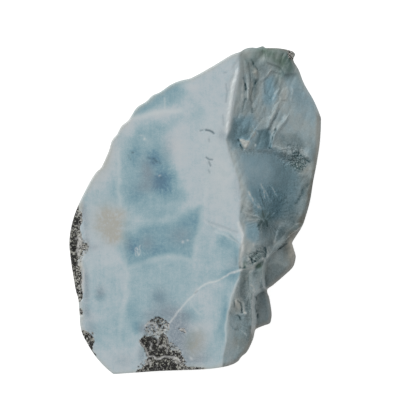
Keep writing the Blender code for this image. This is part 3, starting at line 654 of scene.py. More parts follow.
# Clouds of noise in the mesh: width of the largest swells in mm, seed, octaves
GRAIN_CLOUD = (1.2, 200, 3)
PIT_CLOUD = (0.9, 210, 3)
WALL_CLOUD = (1.4, 220, 2)
STROKE_CLOUD = (1.0, 300, 2)
RAGGED_X_CLOUD = (1.1, 310, 2)
RAGGED_Y_CLOUD = (1.1, 320, 2)
WARP_X_CLOUD = (3.0, 40, 4)
WARP_Y_CLOUD = (3.0, 60, 4)
RIND_CLOUD = (4.0, 240, 4)
WALL_BASALT_CLOUD = (6.0, 140, 4)
OCTAVE_SHIFT = 7.3

# Seeds of the facets
SPLINTER_SEED = 3
WALL_FACET_SEED = 11
WALL_CREASE_SEED = 29
WALL_LUMP_SEED = 37
CHIP_SEED = 51
CRYSTAL_SEED = 71
RAY_SEED = 81
PIT_SEED = 91

# What turns a seed and a cell's place into a repeatable draw; stirs: bits to shift by, factor
SEED_STEP = 974711
SEED_START = 12345
CELL_FACTORS = (374761393, 668265263, 2246822519)
STIRS = ((13, 1274126177), (15, 2654435761))

# Unevenness of the strokes: their mean strength, its swing, least and most
STROKE_MEAN = 0.9
STROKE_SWING = 1.3
STROKE_RANGE = (0.3, 1.3)

# Markings: how far they stray and drift inward down the walls, in mm, and what the walls have
WARP = 0.5
WALL_DRIFT = 0.3
WALL_IS_BROKEN = 1.0
WALL_RIND = 0.5
RIND_WIDTH = 1.6
RIND_SWING = 0.9

# Basalt of the walls: mm to the left and the foot over which it comes in, and how its clouds are cut
WALL_BASALT_LEFT = (10, 30)
WALL_BASALT_FOOT = (20, 40)
WALL_BASALT_LEAST = 0.9
WALL_BASALT_GAIN = 0.6
WALL_BASALT_DEEPER = 0.5
WALL_BASALT_EDGE = (-0.03, 0.08)

# Colours as they look on screen, 0 to 255
GREY = (120, 132, 142)
TAN = (160, 157, 146)
GREEN = (82, 104, 92)
WHITE = (200, 204, 203)
CRACK = (62, 88, 99)
# Deep and pale tones of the broken side, also used for painted shade and painted glints
DEEP_AND_SHADE = (36, 68, 74)
PALE_AND_GLINT = (178, 182, 178)
CRUST = (186, 186, 184)
RIND_PALE = (170, 172, 165)
# Brown rind, also the colour of the painted shadow under the overhang
BROWN_RIND_AND_SHADOW = (82, 78, 66)
FLOOR = (150, 150, 150)

# Colours along a scale: level, colour
POLISHED_BLUES = (
    (0.0, (180, 186, 189)), (0.22, (172, 183, 188)), (0.45, (148, 171, 178)), (0.62, (131, 160, 169)),
    (0.8, (114, 148, 160)), (1.0, (94, 131, 149)), (1.2, (80, 115, 136)),
)
BROKEN_BLUES = (
    (0.0, (154, 158, 154)), (0.25, (148, 158, 158)), (0.5, (138, 157, 163)), (0.75, (126, 152, 162)),
    (1.0, (112, 144, 156)), (1.2, (98, 132, 146)),
)
BASALT_COLOURS = ((0.0, (12, 12, 10)), (0.45, (64, 64, 53)), (1.0, (160, 160, 153)))

# Noise in the material: width of its swells in mm, detail, roughness
PATTERNS = {
    "mottle": (2.4, 4, 0.5), "fine": (0.8, 3, 0.5), "dust": (0.3, 2, 0.5), "clumps": (2.5, 2, 0.5),
    "gaps": (3.0, 2, 0.5), "deep mottle": (0.75, 3, 0.65), "crumbs": (0.6, 3, 0.6),
    "grains": (0.55, 3, 0.7), "grain drift": (1.6, 2, 0.5), "crust veins": (1.2, 2, 0.6),
    "ragged edge": (0.7, 4, 0.7), "broken bumps": (0.35, 3, 0.5), "basalt bumps": (0.5, 4, 0.65),
}
STREAK_PATTERN = (1.0, 3, 0.6)
RAY_PATTERN = (1.0, 2, 0.6)

# Streaks: the pattern's scale across and along them, and their turn from +Y in radians
FIBRES = (1.6, 0.4, -math.atan2(SPLINTER_X, SPLINTER_Y))
STREAKS = (1.5, 0.12, 0.12)

# How far the patterns swing each level, plus or minus about half of this
SWINGS = {
    "polished": {"mottle": 0.4, "fine": 0.26, "dust": 0.36, "streaks": 0.2},
    "deep": {"deep mottle": 0.9},
    "broken": {"mottle": 0.45, "fibres": 0.3},
    "tone_and_shade": {"fibres": 0.25},
    "crumbs": {"crumbs": 1.0, "dust": 1.0},
    "grey": {"fine": 1.2, "dust": 1.6},
    "rind_and_shadow": {"fine": 0.8},
    "tan": {"mottle": 1.6, "fine": 1.6},
    "green": {"mottle": 1.6},
    "white": {"fine": 0.6, "streaks": 1.8},
    "grains": {"grain drift": 0.5},
    "basalt edge": {"ragged edge": 1.1},
    "crust": {"fine": 1.5},
    "roughness": {"fine": 0.3},
}

# Levels between which something comes in
CLUMPS_SHOW = (0.38, 0.62)
GAPS_SHOW = (0.42, 0.62)
DEEP_BLUE = (0.5, 1.0)
GRAIN_CONTRAST = (0.48, 0.62)
BASALT_BORDER = (0.35, 0.65)
VEIN_BORDER = (1.0, 0.5)

# Strengths: crumbs everywhere and more in the rubble, stains, rind with its painted shadow, green, crust,
# grains and veins
CRUMBS = 0.45
RUBBLE_CRUMBS = 1.9
STAIN = 0.8
RIND_ON_FACE = 0.5
RIND_ON_BREAK = 0.7
GREEN_STRENGTH = 0.75
CRUST_STRENGTH = 0.9
GRAIN_LIFT = 0.08
VEIN_WIDTH = 0.018
VEIN_GAIN = 0.05
VEIN_LEAST = 0.002

# Gloss: roughness of each surface, and the height of the bumps that are too fine for the mesh, in mm
POLISHED_ROUGHNESS = 0.30
BROKEN_ROUGHNESS = 0.48
BASALT_ROUGHNESS = 0.75
BROKEN_BUMP = 0.05
BASALT_BUMP = 0.12

# The floor, half its side and its drop in metres: it glows like a light table, so the shadow is faint
FLOOR_HALF = 2.0
FLOOR_DROP = 0.0001
FLOOR_ROUGHNESS = 0.9
FLOOR_GLOW = 0.9

# Light: the share that comes from all round, and the key light's direction and width in degrees
SURROUND = 0.5
KEY_DIRECTION = Vector((-0.45, 0.45, 0.77)).normalized()
KEY_SOFTNESS = 50

# Side of the photograph in pixels and the camera's lens in mm, long because the photograph is flat
PICTURE = 400
LENS = 1000
CLIP_END = 100


def spot(pixel_x, pixel_y):
    """A pixel of the photograph as a place on the slab."""
    return (pixel_x - ORIGIN_PIXEL[0]) * PIXEL, (ORIGIN_PIXEL[1] - pixel_y) * PIXEL


def places(pixels):
    return np.array([spot(*pixel) for pixel in pixels])


def smooth(low, high, value):
    """From 0 to 1 as the value goes from low to high, with no corner at either end."""
    share = np.clip((value - low) / (high - low), 0, 1)
    return share * share * (3 - 2 * share)


def distance_to(x, y, start, end):
    """Distance from each point to a straight stretch."""
    (ax, ay), (bx, by) = start, end
    ex, ey = bx - ax, by - ay
    along = np.clip(((x - ax) * ex + (y - ay) * ey) / (ex * ex + ey * ey), 0, 1)
    return np.hypot(x - ax - along * ex, y - ay - along * ey)


def path_distance(x, y, path):
    nearest = np.full(x.shape, np.inf)
    for start, end in zip(path[:-1], path[1:]):
        nearest = np.minimum(nearest, distance_to(x, y, start, end))
    return nearest


def depth_inside(x, y, loop):
    """Distance from each point to a closed outline, positive inside it."""
    nearest = path_distance(x, y, np.vstack([loop, loop[:1]]))
    inside = np.zeros(x.shape, bool)
    for (ax, ay), (bx, by) in zip(loop, np.roll(loop, -1, axis=0)):
        if ay != by:
            inside ^= ((ay > y) != (by > y)) & (x < ax + (bx - ax) * (y - ay) / (by - ay))
    return np.where(inside, nearest, -nearest)


def beyond(x, y, edge):
    """Distance past an edge that runs down the stone, on its broken side, and negative before it."""
    side = np.vstack([places(edge), places(((PICTURE, edge[-1][1]), (PICTURE, edge[0][1])))])
    return depth_inside(x, y, side)


def plane(x, y, corners):
    """Height of the plane through three (pixel, pixel, mm) points."""
    matrix = np.array([(*spot(px, py), 1) for px, py, _ in corners])
    slope_x, slope_y, level = np.linalg.solve(matrix, np.array([corner[2] for corner in corners]))
    return level + slope_x * x + slope_y * y


def cut(height, x, y, zone, surface, slope):
    """Lowers the stone to a surface inside a zone, with a wall of this slope round it."""
    outside = np.maximum(-depth_inside(x, y, zone), 0)
    return np.minimum(height, surface + outside * slope)


def rounded_max(a, b, width):
    """The higher of two surfaces, with the crease between them filled over this difference in height."""
    fill = np.clip(1 - np.abs(a - b) / width, 0, 1)
    return np.maximum(a, b) + width * fill * fill / 4


def zones(x, y, base, table):
    """A value that changes softly into each zone's own."""
    value = np.full(x.shape, float(base))
    for level, soft, corners in table:
        depth = depth_inside(x, y, places(corners)) / PIXEL
        value = value + (level - value) * smooth(-soft, soft, depth)
    return value


def spots(x, y, table):
    """Sum of soft elliptical spots."""
    total = np.zeros(x.shape)
    for px, py, radius_x, radius_y, amount, *turn in table:
        cx, cy = spot(px, py)
        turned = math.radians(sum(turn))
        c, s = math.cos(turned), math.sin(turned)
        a = ((x - cx) * c + (y - cy) * s) / (radius_x * PIXEL)
        b = ((y - cy) * c - (x - cx) * s) / (radius_y * PIXEL)
        total += amount * np.exp(-(a * a + b * b))
    return total


def line_strength(x, y, half, path):
    """From 1 on a line to 0 away from it."""
    return np.exp(-(path_distance(x, y, places(path)) / PIXEL / half) ** 2)


def lines(x, y, table):
    """The strongest of the soft lines at each point."""
    total = np.zeros(x.shape)
    for half, amount, path in table:
        total = np.maximum(total, amount * line_strength(x, y, half, path))
    return total


def chance(ix, iy, iz, seed):
    """A repeatable number from 0 to 1 for each cell of a grid."""
    mixed = np.uint32(seed * SEED_STEP + SEED_START)
    for value, factor in zip((ix, iy, iz), CELL_FACTORS):
        mixed = mixed + value.astype(np.uint32) * np.uint32(factor)
    for shift, factor in STIRS:
        mixed = (mixed ^ (mixed >> np.uint32(shift))) * np.uint32(factor)
    return (mixed >> np.uint32(8)) / float(1 << 24)


def chips(x, y, z, seed):
    """Tilted facets that meet in creases, one for each cell of a scattered grid, from about -1 to 1."""
    ix, iy, iz = (np.floor(value).astype(np.int64) for value in (x, y, z))
    highest = np.full(x.shape, -np.inf)
    for step in np.ndindex(3, 3, 3):
        cell = (ix + step[0] - 1, iy + step[1] - 1, iz + step[2] - 1)
        draw = [chance(*cell, seed + k) * 2 - 1 for k in range(5)]
        dx, dy, dz = (
            value - at - 0.5 - CHIP_SCATTER * shift for value, at, shift in zip((x, y, z), cell, draw)
        )
        tilted = CHIP_STEP * draw[3] + draw[4] * dx + draw[2] * dy
        highest = np.maximum(highest, tilted - CHIP_CURVE * (dx * dx + dy * dy + dz * dz))
    return highest * CHIP_GAIN + CHIP_LIFT


def facets(x, y, z, size, seed):
    """Chips of one size in mm."""
    return chips(x / size, y / size, z / size, seed)


def splinters(x, y, z, width, length, seed):
    """Chips that are longer in the direction in which the stone splinters."""
    along, across = x * SPLINTER_X + y * SPLINTER_Y, x * SPLINTER_Y - y * SPLINTER_X
    return chips(across / width, along / length, z / length, seed)


def noise(x, y, z, seed):
    """Smooth noise from -1 to 1, one swell for each unit of length."""
    ix, iy, iz = (np.floor(value).astype(np.int64) for value in (x, y, z))
    fx, fy, fz = (f * f * f * (f * (f * 6 - 15) + 10) for f in (x - ix, y - iy, z - iz))
    total = 0
    for dx, dy, dz in np.ndindex(2, 2, 2):
        weight = (fx if dx else 1 - fx) * (fy if dy else 1 - fy) * (fz if dz else 1 - fz)
        total = total + weight * chance(ix + dx, iy + dy, iz + dz, seed)
    return total * 2 - 1


def cloud(x, y, z, size, seed, octaves):
    """Noise whose largest swells have this size in mm, with finer ones on them."""
    total, share = 0, 0.5
    for octave in range(octaves):
        total = total + share * noise(x / size + OCTAVE_SHIFT * octave, y / size, z / size, seed + octave)
        size, share = size / 2, share / 2
    return total


def ragged(x, y):
    """The places moved a little, so that a line drawn through them is ragged."""
    flat = np.zeros(x.shape)
    return x + RAGGED * cloud(x, y, flat, *RAGGED_X_CLOUD), y + RAGGED * cloud(x, y, flat, *RAGGED_Y_CLOUD)


def strokes(x, y, column):
    """Sum of the broken side's ragged strokes: their tone, partly painted crease shade and glints, is
    column 1, their height column 2.
    """
    uneven = STROKE_MEAN + STROKE_SWING * cloud(x, y, np.zeros(x.shape), *STROKE_CLOUD)
    x, y = ragged(x, y)
    total = sum(stroke[column] * line_strength(x, y, stroke[0], stroke[3]) for stroke in STROKES)
    return total * np.clip(uneven, *STROKE_RANGE)


def ridges(x, y, table, seed):
    """Sum of the crystals' ridges: each centre's run out from it and fade with distance."""
    total = np.zeros(x.shape)
    for px, py, reach, count, amount in table:
        dx, dy = x - spot(px, py)[0], y - spot(px, py)[1]
        radius = np.hypot(dx, dy) + TINY
        ring = count / (2 * math.pi * radius)
        streaks = noise(dx * ring, dy * ring, radius / RAY_LENGTH, seed)
        finer = noise(dx * ring * 2, dy * ring * 2, radius / RAY_LENGTH * 2, seed + 1)
        total += amount * (streaks + FINE_RAY_SHARE * finer) * np.exp(-(radius / reach) ** 2)
    return total


def broken_surface(x, y):
    """Height of the stone where the face ends: shoulder, steep wall, facets, scoop, ledges and lobes."""
    pixel_y = ORIGIN_PIXEL[1] - y / PIXEL
    shoulder_slope = np.interp(pixel_y, SLOPE_AT, SHOULDER_SLOPES)
    wall_slope = np.interp(pixel_y, SLOPE_AT, WALL_SLOPES)
    shoulder = THICKNESS - shoulder_slope * np.maximum(beyond(x, y, FACE_EDGE), 0)
    wall = shoulder - wall_slope * np.maximum(beyond(x, y, SHOULDER_EDGE), 0)

    dx, dy = x - spot(*SCOOP_CENTRE)[0], y - spot(*SCOOP_CENTRE)[1]
    scoop = SCOOP_FLOOR + SCOOP_CURVE_X * dx ** 2 + SCOOP_CURVE_Y * dy ** 2
    scoop = scoop + SCOOP_TILT_X * dx + SCOOP_TILT_Y * dy

    below_upper = depth_inside(x, y, places(BELOW_UPPER))
    below_lower = depth_inside(x, y, places(BELOW_LOWER))
    floor = plane(x, y, UPPER_FACE)
    floor = floor + (scoop - floor) * smooth(0, LEDGE_RUN, below_upper)
    foot = smooth(-RUBBLE_WIDTH, RUBBLE_WIDTH, below_lower)
    floor = floor + (plane(x, y, FOOT_FACE) - floor) * foot
    in_scoop = smooth(0, SCOOP_BLEND, below_upper) * (1 - foot)
    height = rounded_max(wall, floor, FILLET + SCOOP_FILLET * in_scoop)
    height = np.minimum(shoulder, height)
    height = cut(height, x, y, places(LOBE_UPPER), plane(x, y, LOBE_UPPER_FACE), LOBE_SLOPE)
    return cut(height, x, y, places(LOBE_LOWER), plane(x, y, LOBE_LOWER_FACE), LOBE_SLOPE)


def fine_relief(x, y, height, past, basalt):
    """Small chips, grain, crystals, strokes and cracks, in mm above the solid's surface."""
    broken = np.clip(past / CHIP_START, 0, 1)
    small = splinters(x, y, height, CHIP_WIDTH, CHIP_LENGTH, CHIP_SEED)
    grain = cloud(x, y, height, *GRAIN_CLOUD)
    rough = zones(x, y, 1.0, ROUGH_ZONES) * (CHIP_DEPTH * small + GRAIN_DEPTH * grain)
    crystals = facets(x, y, height, CRYSTAL, CRYSTAL_SEED)
    rubble = zones(x, y, 0.0, CRYSTAL_ZONES) * CRYSTAL_DEPTH * crystals
    rays = RAY_DEPTH * ridges(x, y, RELIEF_STARS, RAY_SEED)
    pits = cloud(x, y, height, *PIT_CLOUD) + PIT_SHARE * facets(x, y, height, PIT, PIT_SEED)
    relief = broken * (rough + rubble + rays) + BASALT_DEPTH * basalt * pits
    return relief + strokes(x, y, 2) - CRACK_DEPTH * lines(x, y, CRACK_LINES)


def stone_height(x, y):
    """Height of the stone's upper side above its back, with its fine relief."""
    height = broken_surface(x, y)
    for edge, table in ((PLATE_EDGE, PLATES), (BASALT_EDGE, BASALT)):
        for rise, corners in table:
            height = height + rise * np.clip(depth_inside(x, y, places(corners)) / edge, 0, 1)

    past = beyond(x, y, FACE_EDGE)
    broken = np.clip(past / BREAK_START, 0, 1)
    large = splinters(x, y, height, SPLINTER_WIDTH, SPLINTER_LENGTH, SPLINTER_SEED)
    height = height + SPLINTER_DEPTH * large * broken * zones(x, y, 1, CALM_ZONES)
    height = height + fine_relief(x, y, height, past, zones(x, y, 0.0, BASALT_ZONES))

    rim = depth_inside(x, y, places(OUTLINE))
    rounding = FACE_BEVEL_WIDTH + (BREAK_ROUNDING - FACE_BEVEL_WIDTH) * broken
    depth = FACE_BEVEL + (BREAK_ROUNDING - FACE_BEVEL) * broken
    height = height - depth * np.clip(1 - rim / rounding, 0, 1) ** 2
    return np.minimum(height, THICKNESS)


def carve(x, y, share, top):
    """Places on the stone of points that stand at this share of its height, over (x, y) in the block."""
    z = share * top
    large = facets(x, y, z, WALL_FACET, WALL_FACET_SEED)
    creases = facets(x, y, z, WALL_CREASE, WALL_CREASE_SEED)
    hollow = WALL_FACET_DEPTH * (1 - large) + WALL_CREASE_DEPTH * (1 - creases)
    inset = BACK_INSET * np.clip(1 - share / BACK_CURVE_SHARE, 0, 1) ** BACK_CURVE_POWER
    below = np.clip((1 - share) / WALL_HOLLOW_SHARE, 0, 1)
    lumps = facets(x, y, z, WALL_LUMP, WALL_LUMP_SEED) + cloud(x, y, z, *WALL_CLOUD)
    inset = inset + np.maximum(hollow, 0) * below + WALL_LUMP_DEPTH * (1 - lumps) * below
    rim = np.clip(1 - depth_inside(x, y, places(OUTLINE)) / WALL_REACH, 0, 1)
    pull = inset * rim / (np.hypot(x, y) + TINY)
    return np.stack([x - x * pull, y - y * pull, z], axis=1)


def rim_points():
    """The outline as a smooth closed curve, anticlockwise, at even spacing."""
    corners = places(OUTLINE)[::-1]
    before, after, beyond_next = (np.roll(corners, shift, axis=0) for shift in (1, -1, -2))
    steps = np.linspace(0, 1, CURVE_STEPS, endpoint=False)[:, None, None]
    curve = 0.5 * (
        2 * corners + (after - before) * steps
        + (2 * before - 5 * corners + 4 * after - beyond_next) * steps ** 2
        + (3 * corners - before - 3 * after + beyond_next) * steps ** 3
    )
    curve = curve.transpose(1, 0, 2).reshape(-1, 2)
    closed = np.vstack([curve, curve[:1]])
    run = np.concatenate([[0], np.cumsum(np.hypot(*np.diff(closed, axis=0).T))])
    stations = np.linspace(0, run[-1], round(run[-1] / RIM_SPACING), endpoint=False)
    return np.stack([np.interp(stations, run, closed[:, k]) for k in (0, 1)], axis=1)


def points_inside(rim, spacing):
    """Points in rows, every other row shifted, that fill the rim and keep clear of it."""
    low, high = rim.min(axis=0), rim.max(axis=0)
    rows = np.arange(low[1], high[1], spacing * math.sqrt(3) / 2)
    columns = np.arange(low[0], high[0], spacing)
    x, y = np.meshgrid(columns, rows)
    x = x + (np.arange(len(rows)) % 2)[:, None] * spacing / 2
    kept = depth_inside(x, y, rim) > spacing * RIM_ROOM
    return x[kept], y[kept]


def upper_points(rim):
    """Points of the upper side inside the rim, closer together on the broken side."""
    found = []
    for spacing, on_face in ((FACE_SPACING, True), (BREAK_SPACING, False)):
        x, y = points_inside(rim, spacing)
        kept = (beyond(x, y, FACE_EDGE) < 0) == on_face
        found.append(np.stack([x[kept], y[kept]], axis=1))
    return np.vstack(found)


def triangles(points, rim_count):
    """Delaunay triangles of the points, the first of which are the rim, anticlockwise."""
    ring = list(range(rim_count))
    result = delaunay_2d_cdt([Vector(point) for point in points], [], [ring], 1, MERGE_DISTANCE)
    order = np.array([sources[0] for sources in result[3]])
    return order[np.array(result[2])]


def wall_basalt(x, y, z, share):
    """Basalt in the walls, in clouds that gather towards the left, the foot and the back."""
    near = smooth(*WALL_BASALT_LEFT, -x) + smooth(*WALL_BASALT_FOOT, -y) - WALL_BASALT_LEAST
    level = cloud(x, y, z, *WALL_BASALT_CLOUD) + near * WALL_BASALT_GAIN
    level = level + WALL_BASALT_DEEPER * (0.5 - share)
    return smooth(*WALL_BASALT_EDGE, level) * (share < 1)


def stone_marks(x, y, z, share):
    """Strength of each marking at each point. Down the walls the pattern is the one further in."""
    drift = np.where(share < 1, WALL_DRIFT * (1 - share) * THICKNESS, 0) / (np.hypot(x, y) + TINY)
    px = x - x * drift + WARP * cloud(x, y, z, *WARP_X_CLOUD)
    py = y - y * drift + WARP * cloud(x, y, z, *WARP_Y_CLOUD)

    marks = {
        "blue": zones(px, py, BASE_BLUE, BLUE_ZONES) + spots(px, py, BLUE_SPOTS),
        "broken_blue": zones(px, py, BASE_BROKEN_BLUE, BROKEN_BLUE_ZONES),
        "broken": smooth(*COLOUR_BLEND, np.where(share < 1, WALL_IS_BROKEN, beyond(x, y, COLOUR_EDGE))),
        # Tone, with painted shade and painted glints in it as well as the stone's own tone
        "tone_and_shade": zones(px, py, 0.0, TONE_AND_SHADE_ZONES) + spots(px, py, TONE_AND_SHADE_SPOTS) + strokes(x, y, 1),
        "rubble": zones(px, py, 0.0, CRYSTAL_ZONES),
        "crack": lines(x, y, CRACK_LINES),
        "pale_grain": spots(px, py, GRAIN_SPOTS),
        "crust": lines(*ragged(x, y), CRUST_LINES),
    }
    for name, table in (("warm", WARM_SPOTS), ("grey", GREY_SPOTS), ("green", GREEN_SPOTS)):
        marks[name] = np.clip(spots(px, py, table), 0, 1)
    marks["white"] = np.clip(lines(px, py, WHITE_LINES) + spots(px, py, WHITE_SPOTS), 0, 1)
    marks["basalt"] = np.maximum(zones(px, py, 0.0, BASALT_ZONES), wall_basalt(x, y, z, share))

    rim = depth_inside(x, y, places(OUTLINE)) + RIND_SWING * cloud(x, y, z, *RIND_CLOUD)
    # Rind, with painted shadow under the overhang at the lower right in its spots
    rind_and_shadow = smooth(RIND_WIDTH, 0, rim) * zones(x, y, 1.0, RIND_ZONES) + spots(px, py, RIND_AND_SHADOW_SPOTS)
    marks["rind_and_shadow"] = np.where(share < 1, WALL_RIND, np.clip(rind_and_shadow, 0, 1))
    return marks


def stone_faces(upper, back, rim_count):
    """Triangles of the upper side, the walls and the back. Both sides' points start with the rim's."""
    ring = np.arange(rim_count)
    after = np.roll(ring, -1)
    rows = [len(upper) + row * rim_count for row in range(WALL_ROWS)]
    faces = [triangles(upper, rim_count)]
    for above, below in zip([0] + rows[:-1], rows):
        faces.append(np.stack([above + ring, below + ring, below + after], axis=1))
        faces.append(np.stack([above + ring, below + after, above + after], axis=1))
    lowest = triangles(back, rim_count)[:, ::-1]
    faces.append(lowest + rows[-1])
    return np.vstack(faces)


def link(name, data):
    """A new object in the scene."""
    made = bpy.data.objects.new(name, data)
    bpy.context.scene.collection.objects.link(made)
    return made


def make_stone():
    rim = rim_points()
    upper = np.vstack([rim, upper_points(rim)])
    back = np.stack(points_inside(rim, BACK_SPACING), axis=1)
    plan = np.vstack([upper, np.tile(rim, (WALL_ROWS, 1)), back])
    shares = 1 - np.arange(1, WALL_ROWS + 1) / WALL_ROWS
    share = np.concatenate([np.ones(len(upper)), np.repeat(shares, len(rim)), np.zeros(len(back))])
    x, y = plan.T
    points = carve(x, y, share, stone_height(x, y))

    mesh = bpy.data.meshes.new("larimar_stone")
    mesh.from_pydata(points * METRE, [], stone_faces(upper, np.vstack([rim, back]), len(rim)))
    mesh.shade_smooth()
    mesh.set_sharp_from_angle(angle=math.radians(SHARP_ANGLE))
    for name, values in stone_marks(x, y, points[:, 2], share).items():
        attribute = mesh.attributes.new(name, "FLOAT", "POINT")
        attribute.data.foreach_set("value", values.astype(np.float32))
    return link("larimar_stone", mesh)


def linear(colour):
    """A colour as it looks on screen, 0 to 255, as the numbers that a shader takes."""
    share = np.array(colour) / 255
    value = np.where(share <= 0.04045, share / 12.92, ((share + 0.055) / 1.055) ** 2.4)
    return (*value.tolist(), 1)


class Nodes:
    """Short names for making the nodes of one material."""

    def __init__(self, name):
        self.material = bpy.data.materials.new(name)
        self.material.use_nodes = True
        self.tree = self.material.node_tree
        self.shader = self.tree.nodes["Principled BSDF"]
        self.place = self.tree.nodes.new("ShaderNodeTexCoord").outputs["Object"]
        self.patterns = {}

    def put(self, value, socket):
        if isinstance(value, bpy.types.NodeSocket):
            self.tree.links.new(value, socket)
        else:
            socket.default_value = value

    def node(self, kind, **inputs):
        """A new node with these inputs, named as Blender names them but for spaces."""
        node = self.tree.nodes.new(kind)
        for name, value in inputs.items():
            self.put(value, node.inputs[name.replace("_", " ")])
        return node

    def mark(self, name):
        """The strength of a marking, kept with the mesh."""
        node = self.node("ShaderNodeAttribute")
        node.attribute_name = name
        return node.outputs["Fac"]

    def math(self, operation, a, b=0.0, clamp=False):
        node = self.node("ShaderNodeMath")
        node.operation = operation
        node.use_clamp = clamp
        self.put(a, node.inputs[0])
        self.put(b, node.inputs[1])
        return node.outputs[0]

    def add(self, *values):
        total = values[0]
        for value in values[1:]:
            total = self.math("ADD", total, value)
        return total

    def times(self, a, b, clamp=False):
        return self.math("MULTIPLY", a, b, clamp)

    def noise(self, size, detail, rough, place=None):
        """Noise from about 0.25 to 0.75, whose swells are this many mm across."""
        node = self.node("ShaderNodeTexNoise", Scale=1 / (size * METRE), Detail=detail, Roughness=rough,
                         Vector=place or self.place)
        return node.outputs["Fac"]

    def moved(self, **settings):
        """Object coordinates with an offset, a turn or a scale."""
        return self.node("ShaderNodeMapping", Vector=self.place, **settings).outputs["Vector"]

    def streaks(self, across, along, turn):
        place = self.moved(Rotation=(0, 0, turn), Scale=(across, along, 1))
        return self.noise(*STREAK_PATTERN, place)

    def rays(self, table):
        """Streaks that run out from each centre, above and below 0, and fade to 0 at its reach."""
        total = 0.0
        for px, py, reach, count, amount in table:
            x, y = spot(px, py)
            place = self.moved(Location=(-x * METRE, -y * METRE, 0), Scale=(1, 1, 0))
            parts = self.node("ShaderNodeSeparateXYZ", Vector=place)
            angle = self.math("ARCTAN2", parts.outputs["Y"], parts.outputs["X"])
            length = self.node("ShaderNodeVectorMath")
            length.operation = "LENGTH"
            self.put(place, length.inputs[0])
            radius = length.outputs["Value"]
            polar = self.node("ShaderNodeCombineXYZ", X=self.times(angle, METRE * count / (2 * math.pi)),
                              Y=self.math("DIVIDE", radius, RAY_LENGTH))
            streaks = self.swing(self.noise(*RAY_PATTERN, polar.outputs["Vector"]), amount)
            total = self.add(total, self.times(streaks, self.between(radius, reach * METRE, 0.0)))
        return total

    def swing(self, value, amount):
        """Noise as a change of plus or minus about half this amount."""
        return self.times(self.math("SUBTRACT", value, 0.5), amount)

    def swings(self, level):
        """How much the patterns move a level, as the table of swings says."""
        moves = SWINGS[level].items()
        return self.add(*(self.swing(self.patterns[name], amount) for name, amount in moves))

    def uneven(self, value, level):
        """A level that swings by a share of itself."""
        return self.add(value, self.times(self.swings(level), value))

    def between(self, value, low, high):
        """From 0 to 1 as the value goes from low to high."""
        node = self.node("ShaderNodeMapRange", Value=value, From_Min=low, From_Max=high)
        node.interpolation_type = "SMOOTHSTEP"
        return node.outputs["Result"]

    def ramp(self, value, stops):
        """A colour read from (level, colour) stops, of which the last has the highest level."""
        top = stops[-1][0]
        node = self.node("ShaderNodeValToRGB", Fac=self.math("DIVIDE", value, top))
        elements = node.color_ramp.elements
        while len(elements) < len(stops):
            elements.new(1.0)
        for element, (level, colour) in zip(elements, stops):
            element.position = level / top
            element.color = linear(colour)
        return node.outputs["Color"]

    def mix(self, share, a, b):
        """Two colours, the second laid over the first by this share."""
        node = self.node("ShaderNodeMix")
        node.data_type = "RGBA"
        for value, socket in ((share, node.inputs["Factor"]), (a, node.inputs[6]), (b, node.inputs[7])):
            self.put(value, socket)
        return node.outputs[2]

    def mix_value(self, share, a, b):
        node = self.node("ShaderNodeMix")
        for value, socket in ((share, node.inputs["Factor"]), (a, node.inputs[2]), (b, node.inputs[3])):
            self.put(value, socket)
        return node.outputs[0]

    def bump(self, pattern, distance, strength, normal=None):
        node = self.node("ShaderNodeBump", Distance=distance * METRE, Strength=strength,
                         Height=self.patterns[pattern])
        if normal:
            self.put(normal, node.inputs["Normal"])
        return node.outputs["Normal"]


def polished_colour(n):
    """Blues that swing with the patterns, with rays in clumps, deep mottling and grey clouds."""
    level = n.mark("blue")
    rays = n.times(n.rays(STARS), n.between(n.patterns["clumps"], *CLUMPS_SHOW))
    deep = n.times(n.between(level, *DEEP_BLUE), n.swings("deep"))
    blues = n.ramp(n.add(level, n.swings("polished"), rays, deep), POLISHED_BLUES)
    grey = n.uneven(n.mark("grey"), "grey")
    return n.mix(n.times(grey, STAIN, clamp=True), blues, linear(GREY))


def broken_colour(n):
    """Blues made deeper or paler by the tone, which holds painted shade and glints too and is crumbly,
    most of all in the crystal rubble.
    """
    colour = n.ramp(n.add(n.mark("broken_blue"), n.swings("broken")), BROKEN_BLUES)
    crumbs = n.times(n.swings("crumbs"), n.add(CRUMBS, n.times(n.mark("rubble"), RUBBLE_CRUMBS)))
    rays = n.times(n.rays(BROKEN_STARS), n.between(n.patterns["gaps"], *GAPS_SHOW))
    tone_and_shade = n.add(n.mark("tone_and_shade"), crumbs, n.swings("tone_and_shade"), rays)
    # Deep tone, partly painted shade, then pale tone, partly painted glints
    colour = n.mix(n.times(tone_and_shade, -1.0, clamp=True), colour, linear(DEEP_AND_SHADE))
    return n.mix(n.times(tone_and_shade, 1.0, clamp=True), colour, linear(PALE_AND_GLINT))


def stained(n, colour, broken):
    """The colour with rind and its painted shadow, tan, green, white and cracks over it."""
    rind_and_shadow = n.add(n.mix_value(broken, RIND_ON_FACE, RIND_ON_BREAK), n.swings("rind_and_shadow"))
    rind_and_shadow_colour = n.mix(broken, linear(RIND_PALE), linear(BROWN_RIND_AND_SHADOW))
    colour = n.mix(n.times(n.mark("rind_and_shadow"), rind_and_shadow, clamp=True), colour, rind_and_shadow_colour)
    warm = n.mark("warm")
    warm = n.math("ADD", warm, n.times(n.add(n.swings("tan"), n.rays(TAN_STARS)), warm), clamp=True)
    colour = n.mix(n.times(warm, STAIN), colour, linear(TAN))
    green = n.times(n.mark("green"), n.add(GREEN_STRENGTH, n.swings("green")), clamp=True)
    colour = n.mix(green, colour, linear(GREEN))
    colour = n.mix(n.uneven(n.mark("white"), "white"), colour, linear(WHITE))
    return n.mix(n.mark("crack"), colour, linear(CRACK))


